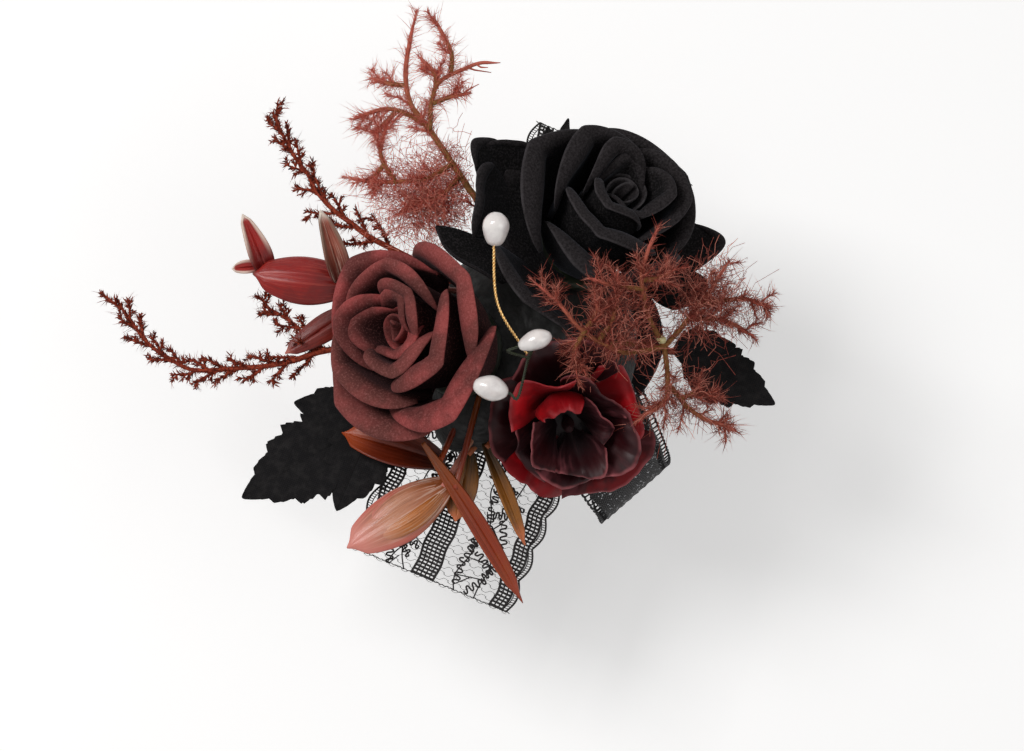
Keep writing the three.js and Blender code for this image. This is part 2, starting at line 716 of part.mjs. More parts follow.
function addPod(name, root, shape, colour) {
  const blade = { ...plainBlade, ...shape };
  const group = rootedGroup(root);
  const ends = [vector(0, 0, 0), vector(root.stemLength, 0, 0)];
  const stem = stemGeometry(ends, podStem.radius, podStem.radius, 6, 2);
  const bulge = (u, v) => (1 - (2 * u - 1) ** 2) * Math.sin(Math.PI * v);
  const thickness = (u, v) => podThickness + blade.fullness * bulge(u, v);
  const petal = sheetGeometry(podSurface(blade), evenShares(4), evenShares(8), thickness);
  const foot = podSurface({ ...blade, cup: 0 })(0.5, blade.footShare);
  petal.translate(-foot.x, -foot.y, -foot.z);
  petal.rotateY(-degrees(blade.lift)).rotateZ(degrees(blade.turn));
  petal.translate(root.stemLength, 0, 0);
  addMesh(group, name, joined([stem, petal]), material(colour, 0.45));
  cutStemSeat(group, podStem.radius, root.stemLength);
}

function addPods() {
  const place = (bearing, radiusShare, heightShare, heading, pitch, stemLength) => ({
    bearing,
    radiusShare,
    heightShare,
    heading,
    pitch,
    stemLength,
  });
  const boat = { length: 26.1, width: 12.4, cup: -3.2, arch: 1.5, fullness: 4.6, lift: -11, turn: 0.1 };
  const spike = { width: 6, cup: 1.6, arch: 1, widestShare: 0.25 };
  const highSpike = { ...spike, length: 18.6, lift: 14, turn: -64.9 };
  const farSpike = { ...spike, length: 15.6, lift: 16, turn: -51 };
  const smallLeaf = { length: 19, width: 7, cup: -0.8, arch: 1, lift: -12, turn: 22.1, widestShare: 0.35 };
  addPod("pod_left_boat", place(124.5, 0.674, 0.6, 150, 8.8, 30.5), boat, colours.pod);
  addPod("pod_left_spike_high", place(118, 0.7, 0.8, 152.1, 8.6, 33.1), highSpike, colours.pod);
  addPod("pod_left_spike_far", place(135, 0.6, 0.12, 143.3, 5, 53.5), farSpike, colours.pod);
  addPod("pod_left_leaf", place(130, 0.9, 0.39, 168.3, 9.6, 25.6), smallLeaf, colours.rust);
  const pink = { length: 29.8, width: 13.4, cup: -3.6, arch: 1.5, fullness: 5.2, lift: -7, turn: -27.9 };
  const inner = { length: 18, width: 8, cup: -0.8, arch: 1, lift: -5, turn: 27.7 };
  const longSpear = {
    ...{ length: 47, width: 4.6, cup: 0.8, arch: -2.9, lift: -11.5, turn: 47 },
    ...{ bow: 1, footShare: 0.3, widestShare: 0.58 },
  };
  const shortSpear = { length: 27.6, width: 3.8, cup: 0.8, arch: 1, lift: -16, turn: 64.7 };
  const underLeaf = { length: 27.4, width: 10.5, cup: 1.6, arch: 1, lift: -6, turn: -85.5 };
  addPod("pod_low_pink", place(216, 0.62, 0.3, 217.2, 5.8, 26.6), pink, colours.pinkPod);
  addPod("pod_low_inner", place(228, 0.62, 0.2, 208.6, 2, 16.4), inner, colours.rust);
  addPod("pod_low_spear_long", place(205, 0.7, 0.8, 232.5, -1.6, 24.8), longSpear, colours.rust);
  addPod("pod_low_spear_short", place(240, 0.62, 0.3, 207.5, 14, 14.7), shortSpear, colours.rust);
  addPod("pod_low_leaf", place(200, 0.8, 0.4, 224.3, 8, 17.7), underLeaf, colours.rust);
}

// Sprigs: a main limb and its branches, each a route in shares of the sprig's length. Short side shoots run
// all along, each one turned on from the last about the limb.
const heatherShoots = { spacing: 5.4, reach: 8.6, radius: 0.9, turn: 180, lean: 1.15, flatten: 0.08 };
const smokeTufts = { spacing: 9.8, reach: 5, radius: 0.8, turn: 137.5, lean: 0.6, flatten: 0.7 };

function sideShoots(curve, from, shoots) {
  const count = Math.floor(((1 - from) * curve.getLength()) / shoots.spacing);
  return Array.from({ length: count }, (_, i) => {
    const share = mix(from, 0.97, i / Math.max(1, count - 1));
    const start = curve.getPointAt(share);
    const tangent = curve.getTangentAt(share);
    const side = vector(0, 0, 1).cross(tangent).normalize();
    const turn = degrees(shoots.turn) * i;
    const heading = tangent.multiplyScalar(shoots.lean).addScaledVector(side, Math.cos(turn));
    heading.z += shoots.flatten * Math.sin(turn + Math.PI / 4);
    const reach = shoots.reach * (1.12 - 0.6 * share);
    const end = start.clone().addScaledVector(heading.normalize(), reach);
    return stemGeometry([start, end], shoots.radius, shoots.radius / 3, 3, 1);
  });
}

function addSprig(name, root, sprig, colour) {
  const group = rootedGroup(root);
  const seat = { steps: 12, sides: 6 };
  const pieces = sprig.limbShares.flatMap((shares, i) => {
    const points = route(shares, sprig.length);
    const curve = new THREE.CatmullRomCurve3(points, false, "centripetal");
    const isMain = i === 0;
    const radius = isMain ? sprig.radius : sprig.branchRadius;
    const steps = isMain ? seat.steps : points.length;
    const limb = stemGeometry(points, radius, radius * sprig.tipShare, isMain ? seat.sides : 4, steps);
    return [limb, ...sideShoots(curve, isMain ? sprig.shootsFrom : 0.25, sprig.shoots)];
  });
  addMesh(group, name, joined(pieces), material(colour, 0.85));
  const main = route(sprig.limbShares[0], sprig.length);
  const hole = sprig.radius + seatGap;
  cutMoundBy(group, stemGeometry(main, hole, hole, seat.sides, seat.steps));
  cutStemSeat(group, sprig.radius, seatGap);
}

function addSprigs() {
  const heather = {
    ...{ radius: 1.1, branchRadius: 0.8, tipShare: 0.45 },
    ...{ shootsFrom: 0.38, shoots: heatherShoots },
  };
  addSprig(
    "heather_twig_upper",
    { bearing: 118, radiusShare: 0.66, heightShare: 0.45, heading: 122, pitch: 3 },
    {
      ...heather,
      length: 71,
      limbShares: [
        [
          [0, 0, 0],
          [0.13, 0, 0],
          [0.32, 0.03, 0.03],
          [0.45, 0.045, 0.035],
          [0.56, 0.04, 0.035],
          [0.66, 0.02, 0.03],
          [0.75, -0.02, 0.02],
          [0.84, -0.05, 0.015],
          [0.98, -0.13, 0],
        ],
      ],
    },
    colours.heather,
  );
  addSprig(
    "heather_twig_lower",
    { bearing: 134, radiusShare: 0.84, heightShare: 0.42, heading: 179, pitch: 0.3 },
    {
      ...heather,
      length: 88,
      limbShares: [
        [
          [0, 0, 0],
          [0.1, 0, 0],
          [0.37, -0.01, 0.015],
          [0.5, -0.022, 0.02],
          [0.63, -0.056, 0.02],
          [0.75, -0.11, 0],
          [0.83, -0.225, -0.005],
          [0.87, -0.38, -0.01],
        ],
        [
          [0.33, 0, 0.02],
          [0.38, -0.02, 0.02],
          [0.41, -0.08, 0.01],
          [0.43, -0.13, -0.01],
          [0.48, -0.2, -0.02],
        ],
      ],
    },
    colours.heather,
  );
  const smoke = {
    ...{ radius: 0.95, branchRadius: 0.65, tipShare: 0.5 },
    ...{ shootsFrom: 0.35, shoots: smokeTufts },
  };
  const branch = (...shares) => shares;
  addSprig(
    "smoke_sprig_upper",
    { bearing: 92, radiusShare: 0.6, heightShare: 0.55, heading: 92, pitch: 6 },
    {
      ...smoke,
      length: 72,
      limbShares: [
        [
          [0, 0, 0],
          [0.12, 0, 0.03],
          [0.27, -0.03, 0.1],
          [0.35, -0.02, 0.12],
          [0.46, 0, 0.13],
          [0.59, 0.02, 0.13],
          [0.69, 0.04, 0.14],
          [0.78, 0.02, 0.13],
          [0.9, -0.05, 0.12],
          [0.99, -0.12, 0.11],
        ],
        branch(
          [0.58, 0.02, 0.14],
          [0.68, -0.04, 0.15],
          [0.72, -0.09, 0.16],
          [0.72, -0.22, 0.16],
          [0.69, -0.3, 0.17],
        ),
        branch([0.73, -0.13, 0.16], [0.81, -0.16, 0.15], [0.94, -0.16, 0.13]),
        branch([0.7, -0.06, 0.15], [0.76, -0.07, 0.16], [0.83, -0.06, 0.15]),
        branch([0.66, -0.03, 0.15], [0.65, -0.1, 0.16], [0.64, -0.16, 0.16]),
        branch([0.61, 0.03, 0.13], [0.67, 0.07, 0.13], [0.72, 0.13, 0.11], [0.74, 0.25, 0.09]),
        branch([0.69, 0.1, 0.12], [0.68, 0.14, 0.11], [0.66, 0.2, 0.1]),
        branch([0.76, 0.03, 0.13], [0.8, 0.09, 0.13], [0.83, 0.12, 0.12]),
        branch(
          [0.44, 0, 0.14],
          [0.43, 0.1, 0.12],
          [0.46, 0.19, 0.11],
          [0.51, 0.28, 0.09],
          [0.56, 0.35, 0.07],
        ),
        branch([0.46, 0.2, 0.11], [0.56, 0.21, 0.11], [0.62, 0.18, 0.12], [0.68, 0.13, 0.11]),
        branch([0.54, 0.21, 0.11], [0.52, 0.26, 0.1], [0.48, 0.29, 0.09]),
        branch([0.39, -0.01, 0.13], [0.36, 0.08, 0.12], [0.37, 0.17, 0.1], [0.37, 0.25, 0.09]),
      ],
    },
    colours.smoke,
  );
  addSprig(
    "smoke_sprig_right",
    { bearing: -30, radiusShare: 0.62, heightShare: 0.7, heading: -29, pitch: 49 },
    {
      ...smoke,
      length: 46,
      limbShares: [
        branch([0, 0, 0], [0.2, 0, 0], [0.42, -0.03, -0.01], [0.54, -0.05, 0]),
        branch(
          [0.54, -0.05, 0],
          [0.46, -0.12, 0.22],
          [0.39, -0.05, 0.44],
          [0.31, 0.09, 0.59],
          [0.22, 0.2, 0.7],
        ),
        branch([0.39, -0.05, 0.44], [0.47, 0.05, 0.44], [0.49, 0.13, 0.48]),
        branch([0.43, -0.08, 0.36], [0.56, 0.09, 0.38], [0.58, 0.27, 0.42]),
        branch([0.39, -0.05, 0.44], [0.33, -0.17, 0.44], [0.34, -0.23, 0.4]),
        branch([0.54, -0.05, 0], [0.58, 0.1, 0.18], [0.65, 0.29, 0.3], [0.7, 0.53, 0.28]),
        branch([0.62, 0.2, 0.24], [0.55, 0.19, 0.42], [0.48, 0.21, 0.54]),
        branch([0.64, 0.24, 0.28], [0.71, 0.26, 0.23], [0.74, 0.32, 0.16]),
        branch([0.54, -0.05, 0], [0.65, 0.11, -0.06], [0.71, 0.22, -0.09], [0.78, 0.43, -0.18]),
        branch([0.7, 0.19, -0.08], [0.82, 0.24, -0.26], [0.91, 0.22, -0.39]),
        branch([0.65, 0.11, -0.06], [0.74, 0.12, -0.23], [0.81, 0.07, -0.38]),
        branch(
          [0.54, -0.05, 0],
          [0.53, -0.19, -0.06],
          [0.51, -0.31, -0.09],
          [0.4, -0.4, -0.04],
          [0.31, -0.48, 0],
        ),
        branch([0.52, -0.24, -0.08], [0.57, -0.36, -0.24], [0.69, -0.43, -0.47]),
        branch([0.55, -0.3, -0.14], [0.6, -0.25, -0.24], [0.64, -0.28, -0.31]),
      ],
    },
    colours.smoke,
  );
}

// The pearl spray: a twisted wire that rises between the blooms and forks to three pearls. A pearl's axis
// runs from its drilled end.
const pearlWire = { radius: 0.55, armRadius: 0.4, drillDepth: 1.6, lead: 2, dip: 1.2, kneeShare: 0.75 };
const pearls = {
  high: { centre: [-4.5, 23.7, 50], length: 8.3, width: 6.3, axis: [0.45, 0.8, 0.4] },
  right: { centre: [-6.1, -4.2, 44.5], length: 8.6, width: 4.6, axis: [0.99, -0.07, 0.12] },
  left: { centre: [-20.5, -10.8, 44.5], length: 8.4, width: 5.8, axis: [-0.79, 0.61, 0.12] },
};
const pearlFork = vector(-8.6, -6, 37);
const pearlFoot = vector(-5.5, -2.5, moundBottom + mound.height * 0.4);
const pearlBend = vector(-10.9, 7.4, 44.8);

function pearlSolid({ centre, length, width, axis }) {
  const body = new THREE.SphereGeometry(0.5, 10, 7).rotateX(Math.PI / 2).scale(width, width, length);
  const drill = new THREE.CylinderGeometry(1, 1, 1, 8).rotateX(Math.PI / 2);
  drill.scale(pearlWire.armRadius + seatGap, pearlWire.armRadius + seatGap, 2 * pearlWire.drillDepth);
  drill.translate(0, 0, -length / 2);
  const drilled = geometryFrom(solidFrom(body).subtract(solidFrom(drill)));
  const turn = new THREE.Quaternion().setFromUnitVectors(up, vector(...axis).normalize());
  return drilled.applyQuaternion(turn).translate(...centre);
}

// The point where an arm ends inside its pearl's drilled hole, moved back along the pearl's axis
function armEnd({ centre, length, axis }, back) {
  const reach = pearlWire.drillDepth - seatGap - length / 2 - back;
  return vector(...centre).addScaledVector(vector(...axis).normalize(), reach);
}

// An arm that dips below its pearl's axis and then follows it into the hole
function pearlArm(start, pearl) {
  const dipped = armEnd(pearl, 2 * pearlWire.lead).sub(vector(0, 0, pearlWire.dip));
  const points = [start, dipped, armEnd(pearl, pearlWire.lead), armEnd(pearl, 0)];
  return stemGeometry(points, pearlWire.armRadius, pearlWire.armRadius, 6, 9);
}

function addPearlSpray() {
  const look = material(colours.wire, 0.35, 0.9);
  const kneeHeight = mix(pearlFoot.z, pearlFork.z, pearlWire.kneeShare);
  const knee = vector(pearlFoot.x, pearlFoot.y, kneeHeight);
  const stem = stemGeometry([pearlFoot, knee, pearlFork], pearlWire.radius, pearlWire.radius, 6, 6);
  const arms = [pearls.right, pearls.left].map((pearl) => pearlArm(pearlFork, pearl));
  addMesh(corsage, "pearl_spray_stem", joined([stem, ...arms]), look);
  const clear = pearlWire.radius + seatGap;
  const start = pearlFork.clone().add(vector(0, clear, clear + seatGap));
  const longRoute = [start, pearlBend, armEnd(pearls.high, pearlWire.lead), armEnd(pearls.high, 0)];
  const longArm = stemGeometry(longRoute, pearlWire.armRadius, pearlWire.armRadius, 6, 12);
  addMesh(corsage, "pearl_spray_arm", longArm, look);
  for (const [name, pearl] of Object.entries(pearls))
    addMesh(corsage, "pearl_" + name, pearlSolid(pearl), material(colours.pearl, 0.25));
  const seatEnd = pearlFoot.clone().add(vector(0, 0, mound.height));
  const seatStart = pearlFoot.clone().sub(vector(0, 0, seatGap));
  const hole = pearlWire.radius + seatGap;
  moundCutters.push(stemGeometry([seatStart, seatEnd], hole, hole, 6, 1));
}

// The binding mound: floral tape and glue that holds every stem, so it is cut to each stem's seat
function addMound() {
  const profile = [[0, 0], [mound.radius, 0]];
  const rings = 4;
  for (let i = 0; i <= rings; i++) {
    const turn = (Math.PI / 2) * (i / rings);
    profile.push([
      i === rings ? 0 : mound.radius * Math.cos(turn) ** 0.7,
      mix(mound.edgeHeight, mound.height, Math.sin(turn)),
    ]);
  }
  const dome = turnedGeometry(profile, 20).translate(mound.centre[0], mound.centre[1], moundBottom);
  const cutters = moundCutters.map(solidFrom);
  const cut = cutters.reduce((whole, cutter) => whole.subtract(cutter), solidFrom(dome));
  addMesh(corsage, "binding_mound", geometryFrom(cut), material(colours.glue, 0.6));
}

addPadAndDisc();
addWristband();
addLace();
for (const [name, rose] of Object.entries(roses)) addRose(name, rose);
addSilkFlower();
addLeaves();
addPods();
addSprigs();
addPearlSpray();
addMound();

export default corsage;
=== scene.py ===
import math

import bpy
import numpy as np
from mathutils import Matrix, Vector


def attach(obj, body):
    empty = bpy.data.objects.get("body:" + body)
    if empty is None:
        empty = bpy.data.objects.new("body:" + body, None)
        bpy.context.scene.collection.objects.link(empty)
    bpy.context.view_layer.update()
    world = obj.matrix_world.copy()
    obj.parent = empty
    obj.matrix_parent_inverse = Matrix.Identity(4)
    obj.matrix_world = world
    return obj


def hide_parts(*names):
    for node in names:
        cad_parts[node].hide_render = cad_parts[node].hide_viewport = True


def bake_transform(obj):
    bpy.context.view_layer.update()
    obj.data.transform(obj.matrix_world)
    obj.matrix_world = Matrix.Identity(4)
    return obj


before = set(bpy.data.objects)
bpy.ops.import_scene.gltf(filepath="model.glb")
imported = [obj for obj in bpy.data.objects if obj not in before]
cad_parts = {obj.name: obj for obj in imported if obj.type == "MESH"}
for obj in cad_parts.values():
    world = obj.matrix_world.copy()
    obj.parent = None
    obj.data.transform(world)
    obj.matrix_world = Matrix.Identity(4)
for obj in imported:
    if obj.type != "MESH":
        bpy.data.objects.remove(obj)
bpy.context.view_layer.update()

MM = 0.001
TURN = 2 * math.pi
GAP = 0.3  # air between two pieces that lie together, in millimetres
ROUND_STEPS = 3


# Mesh helpers: everything is worked out in millimetres and stored in metres

def mix(a, b, t):
    return a + (b - a) * t


def smoothstep(x):
    x = np.clip(x, 0, 1)
    return x * x * (3 - 2 * x)


def unit(v, tiny=1e-9):
    return v / (np.linalg.norm(v, axis=-1, keepdims=True) + tiny)


def polar(radius, angle, z):
    return np.stack([radius * np.cos(angle), radius * np.sin(angle), z], -1)


def carried(points, matrix):
    return points @ matrix[:3, :3].T + matrix[:3, 3]


def shifted(x, y, z):
    return np.array(Matrix.Translation((x, y, z)))


def turned(angle, axis="Z"):
    return np.array(Matrix.Rotation(math.radians(angle), 4, axis))


def leaning(centre, axis):
    lean = Vector((0, 0, 1)).rotation_difference(Vector(axis).normalized())
    return shifted(*centre) @ np.array(lean.to_matrix().to_4x4())


def hash3(i, j, k, seed):
    """A value from -1 to 1 for each whole-numbered place, which looks random."""
    n = (i * 374761393 + j * 668265263 + k * 2147483647 + seed * 974634777) & 0xFFFFFFFF
    n = ((n ^ (n >> 13)) * 1274126177) & 0xFFFFFFFF
    return ((n ^ (n >> 16)) & 0xFFFF) / 32767.5 - 1


def value_noise(points, size, seed):
    """Smooth noise from -1 to 1 at points (n,3), with features of the given size."""
    q = np.asarray(points, float) / size
    cell = np.floor(q).astype(np.int64)
    f = smoothstep(q - cell)
    total = 0
    for corner in np.ndindex(2, 2, 2):
        x, y, z = (f[..., k] if corner[k] else 1 - f[..., k] for k in range(3))
        total = total + x * y * z * hash3(*(cell[..., k] + corner[k] for k in range(3)), seed)
    return total


def noise3(points, size, seed):
    return np.stack([value_noise(points, size, seed + k) for k in range(3)], 1)


class Build:
    """Collects parts of one mesh, with two shares (pu across, pv along) and a tone at each point."""

    def __init__(self):
        self.points, self.faces, self.looks, self.shares = [], [], [], []
        self.count = 0

    def add(self, points, faces, look=0, pu=0.0, pv=0.0, tone=0.0, matrix=None):
        points = np.asarray(points, float).reshape(-1, 3)
        share = np.empty((len(points), 3))
        share[:, 0], share[:, 1], share[:, 2] = np.ravel(pu), np.ravel(pv), np.ravel(tone)
        self.shares.append(share)
        self.points.append(points if matrix is None else carried(points, matrix))
        for group in faces:
            self.faces.append(group + self.count)
            self.looks.append(np.full(len(group), look))
        self.count += len(points)

    def bend(self, change, matrix):
        """Changes every point so far, then puts them in place."""
        self.points = [carried(change(points), matrix) for points in self.points]

    def done(self, name, looks):
        """The mesh as an object, with the LOOKS that the space-separated words name."""
        mesh = bpy.data.meshes.new(name)

        def fill(items, key, values, kind=np.int32):
            if not len(items):
                items.add(len(values))
            items.foreach_set(key, values.astype(kind).ravel())

        sizes = np.concatenate([np.full(len(f), f.shape[1]) for f in self.faces])
        fill(mesh.vertices, "co", np.concatenate(self.points) * MM, np.float32)
        fill(mesh.loops, "vertex_index", np.concatenate([f.ravel() for f in self.faces]))
        fill(mesh.polygons, "loop_start", np.cumsum(sizes) - sizes)
        fill(mesh.polygons, "loop_total", sizes)
        fill(mesh.polygons, "material_index", np.concatenate(self.looks))
        mesh.update(calc_edges=True)
        mesh.validate()
        for key, values in zip(("pu", "pv", "tone"), np.concatenate(self.shares).T):
            fill(mesh.attributes.new(key, "FLOAT", "POINT").data, "value", values, np.float32)
        fill(mesh.polygons, "use_smooth", np.ones(len(sizes)), bool)
        for look in looks.split():
            mesh.materials.append(LOOKS[look])
        piece = bpy.data.objects.new(name, mesh)
        bpy.context.scene.collection.objects.link(piece)
        return piece


def add_piece(build, name, looks, slot, *nodes, body="corsage"):
    """Makes the mesh and puts it on its body and in place of the CAD nodes; its slot is not used."""
    piece = build.done(name, looks)
    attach(piece, body)
    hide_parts(*nodes)
    return piece


def ring_quads(index, close=False):
    """Faces between each ring of point numbers and the next, and from the last to the first if closed."""
    a, b = (index, np.roll(index, -1, 0)) if close else (index[..., :-1, :], index[..., 1:, :])
    return np.stack([a, np.roll(a, -1, -1), np.roll(b, -1, -1), b], -1).reshape(-1, 4)


def edge_shares(count, width=0.04):
    """Even shares with a few more near both ends, for a rounded rim."""
    ends = np.array([0, width * 0.12, width * 0.4])
    return np.concatenate([ends, np.linspace(width, 1 - width, count), 1 - ends[::-1]])


def rim_round(shares, width):
    d = np.clip(np.minimum(shares, 1 - shares) / width, 0, 1)
    return np.sqrt(1 - (1 - d) ** 2)


def add_sheet(build, surface, across, along, thickness, look=0, tone=0.0, matrix=None, width=0.04, thin=0.0):
    """A curved sheet with rounded rims, thinner by a share at its far end. surface(U, V) is its middle."""
    us, vs = (s if np.ndim(s) else edge_shares(s) for s in (across, along))
    U, V = np.meshgrid(us, vs)
    P = surface(U, V)
    N = unit(np.cross(np.gradient(P, axis=1), np.gradient(P, axis=0)))
    half = thickness / 2 * np.minimum.outer(rim_round(vs, width), rim_round(us, width))[..., None]
    half = half * (1 - thin * smoothstep((V - 0.6) / 0.3))[..., None]
    top = np.arange(U.size).reshape(U.shape)
    bottom = top + U.size
    for edge in (np.s_[0, :], np.s_[-1, :], np.s_[:, 0], np.s_[:, -1]):
        bottom[edge] = top[edge]
    quads = lambda g: np.stack([g[:-1, :-1], g[:-1, 1:], g[1:, 1:], g[1:, :-1]], -1).reshape(-1, 4)
    points = np.concatenate([(P + N * half).reshape(-1, 3), (P - N * half).reshape(-1, 3)])
    faces = [quads(top), quads(bottom)[:, ::-1]]
    build.add(points, faces, look, np.tile(U.ravel(), 2), np.tile(V.ravel(), 2), tone, matrix)


def smooth_route(points, steps):
    """Points along a Catmull-Rom curve through the given ones, at even lengths."""
    p = np.asarray(points, float)
    q = np.concatenate([[2 * p[0] - p[1]], p, [2 * p[-1] - p[-2]]])
    fine = []
    for i in range(len(p) - 1):
        a, b, c, d = q[i : i + 4]
        for t in np.linspace(0, 1, 24, endpoint=i == len(p) - 2):
            cubic = (2 * a - 5 * b + 4 * c - d) * t**2 + (3 * b - a - 3 * c + d) * t**3
            fine.append(0.5 * (2 * b + (c - a) * t + cubic))
    fine = np.array(fine)
    run = lengths(fine)
    at = np.linspace(0, run[-1], steps + 1)
    return np.stack([np.interp(at, run, fine[:, k]) for k in range(3)], 1)


def lengths(line):
    """The length of the line up to each of its points."""
    return np.concatenate([[0], np.cumsum(np.linalg.norm(np.diff(line, axis=0), axis=1))])


def tube_rings(route, radii, sides, squeeze=1.0):
    tangents = unit(np.gradient(route, axis=0), 1e-12)
    side = np.cross(tangents[0], (0, 0, 1) if abs(tangents[0][2]) < 0.9 else (1, 0, 0))
    rings = []
    turn = TURN * np.arange(sides) / sides
    for point, tangent, radius in zip(route, tangents, radii):
        side = unit(side - tangent * (side @ tangent), 1e-12)
        other = np.cross(tangent, side)
        circle = np.outer(np.cos(turn), side) + squeeze * np.outer(np.sin(turn), other)
        rings.append(point + radius * circle)
    return np.array(rings)


def add_tube(build, route, radii, sides=8, look=0, tone=0.0, matrix=None, squeeze=1.0):
    route = np.asarray(route, float)
    steps = len(route)
    rings = tube_rings(route, np.broadcast_to(radii, (steps,)), sides, squeeze)
    index = np.arange(steps * sides).reshape(steps, sides)
    faces = [ring_quads(index), index[0][None, ::-1], index[-1][None]]
    along = np.repeat(np.linspace(0, 1, steps), sides)
    build.add(rings, faces, look, np.tile(np.arange(sides) / sides, steps), along, tone, matrix)


def add_rings(build, rings, low, high, look=0, matrix=None, lump=0.0, seed=0):
    """A skin over rings of points, closed by a fan to one point at each end."""
    rows, segments = rings.shape[:2]
    points = np.concatenate([rings.reshape(-1, 3), [low, high]])
    if lump:
        points = points + lump * noise3(points, 4.0, seed)
    index = np.arange(rows * segments).reshape(rows, segments)
    tips = np.arange(rows * segments, rows * segments + 2)[:, None].repeat(segments, 1)
    first, last = index[0], index[-1]
    caps = np.concatenate(
        [np.stack([tips[0], np.roll(first, -1), first], -1), np.stack([tips[1], last, np.roll(last, -1)], -1)]
    )
    along = np.concatenate([np.repeat(np.linspace(0, 1, rows), segments), [0, 1]])
    build.add(points, [ring_quads(index), caps], look, 0.0, along, 0.0, matrix)


def add_turned(build, profile, segments, **settings):
    """A solid of revolution about Z from [radius, height] pairs that start and end on the axis."""
    profile = np.asarray(profile, float)
    turn = TURN * np.arange(segments) / segments
    radius, height = profile[1:-1, :1], profile[1:-1, 1:]
    rings = polar(radius, turn, np.repeat(height, segments, 1))
    add_rings(build, rings, (0, 0, profile[0, 1]), (0, 0, profile[-1, 1]), **settings)


def rounded_profile(profile, radius):
    """The same profile with its corners rounded, each in ROUND_STEPS short lines."""
    p = [np.asarray(q, float) for q in profile]
    out = [p[0]]
    for before, corner, after in zip(p[:-2], p[1:-1], p[2:]):
        a, b = before - corner, after - corner
        la, lb = np.linalg.norm(a), np.linalg.norm(b)
        r = min(radius, la / 2, lb / 2)
        s, e = corner + a / la * r, corner + b / lb * r
        for t in np.linspace(0, 1, ROUND_STEPS + 1):
            out.append((1 - t) ** 2 * s + 2 * t * (1 - t) * corner + t * t * e)
    return [*out, p[-1]]


MOUND = {"radius": 27, "height": 9, "centre": (-4, 3), "bottom": 6.0, "edge": 1}


def rooted(bearing, radius_share, height_share, heading=None, pitch=0):
    """The frame of a stem that starts in the binding mound, with X along the stem."""
    heading = bearing if heading is None else heading
    x, y, z = polar(radius_share * MOUND["radius"], math.radians(bearing), height_share * MOUND["height"])
    place = shifted(MOUND["centre"][0] + x, MOUND["centre"][1] + y, MOUND["bottom"] + z)
    return place @ turned(heading) @ turned(-pitch, "Y")


# Materials

def linear(colour):
    f = lambda c: c / 12.92 if c <= 0.04045 else ((c + 0.055) / 1.055) ** 2.4
    return (*(f(c / 255) for c in colour), 1.0)


def connect(tree, source, target):
    if hasattr(source, "is_output"):
        tree.links.new(source, target)
    else:
        target.default_value = source


def new_node(tree, kind, output, inputs, **settings):
    """The named output of a new node, whose inputs take other outputs or constants."""
    made = tree.nodes.new(kind)
    for key, value in settings.items():
        setattr(made, key, value)
    for key, source in inputs.items():
        connect(tree, source, made.inputs[key])
    return made.outputs[output]


def seen_rays(tree):
    """1 for what the camera, a gloss or a glass sees, and 0 for light that falls on the pieces."""
    rays = tree.nodes.new("ShaderNodeLightPath").outputs
    larger = lambda a, b: new_node(tree, "ShaderNodeMath", 0, {0: a, 1: b}, operation="MAXIMUM")
    return larger(rays["Is Camera Ray"], larger(rays["Is Glossy Ray"], rays["Is Transmission Ray"]))


class Look:
    """A Principled material whose colour, roughness and bump come from nodes."""

    def __init__(self, name, roughness, tint=None, **settings):
        self.material = bpy.data.materials.new(name)
        self.material.use_nodes = True
        self.tree = self.material.node_tree
        self.shader = self.tree.nodes["Principled BSDF"].inputs
        self.shader["Roughness"].default_value = roughness
        for key, value in settings.items():
            self.shader[key.replace("_", " ")].default_value = value
        if tint:
            self.shader["Sheen Tint"].default_value = linear(tint)
        self.place = self.node("ShaderNodeTexCoord", "Object", {})
        self.base = self.normal = None

    def node(self, kind, output, inputs, **settings):
        return new_node(self.tree, kind, output, inputs, **settings)

    def share(self, name):
        return self.node("ShaderNodeAttribute", "Fac", {}, attribute_name=name)

    def vector(self, x, y, z):
        return self.node("ShaderNodeCombineXYZ", "Vector", {0: x, 1: y, 2: z})

    def noise(self, scale, detail, rough, place=None, distortion=0.0):
        inputs = {"Vector": self.place if place is None else place, "Scale": scale, "Detail": detail}
        inputs |= {"Roughness": rough, "Distortion": distortion}
        return self.node("ShaderNodeTexNoise", "Fac", inputs)

    def math(self, operation, a, b=0.0):
        return self.node("ShaderNodeMath", 0, {0: a, 1: b}, operation=operation)

    def times(self, a, b):
        return self.math("MULTIPLY", a, b)

    def wave(self, value, pace):
        return self.math("SINE", self.times(value, pace))

    def off_middle(self):
        return self.math("ABSOLUTE", self.math("SUBTRACT", self.share("pu"), 0.5))

    def ramp(self, value, low, high, to_low=0.0, to_high=1.0):
        inputs = {"Value": value, "From Min": low, "From Max": high, "To Min": to_low, "To Max": to_high}
        return self.node("ShaderNodeMapRange", "Result", inputs, interpolation_type="SMOOTHSTEP")

    def paint(self, colour, share=None):
        """Sets the base colour, or lays a colour over it by a share."""
        if share is None:
            self.base = linear(colour)
        else:
            inputs = {"Factor": share, "A": self.base, "B": linear(colour)}
            self.base = self.node("ShaderNodeMix", 2, inputs, data_type="RGBA")

    def bump(self, height, strength, distance):
        inputs = {"Strength": strength, "Distance": distance, "Height": height}
        if self.normal is not None:
            inputs["Normal"] = self.normal
        self.normal = self.node("ShaderNodeBump", "Normal", inputs)

    def done(self, grain=None, low=0.0, high=0.0):
        """The finished material; its roughness goes from low to high over the grain, if there is one."""
        connect(self.tree, self.base, self.shader["Base Color"])
        if self.normal is not None:
            connect(self.tree, self.normal, self.shader["Normal"])
        if grain is not None:
            connect(self.tree, self.ramp(grain, 0.3, 0.7, low, high), self.shader["Roughness"])
        return self.material


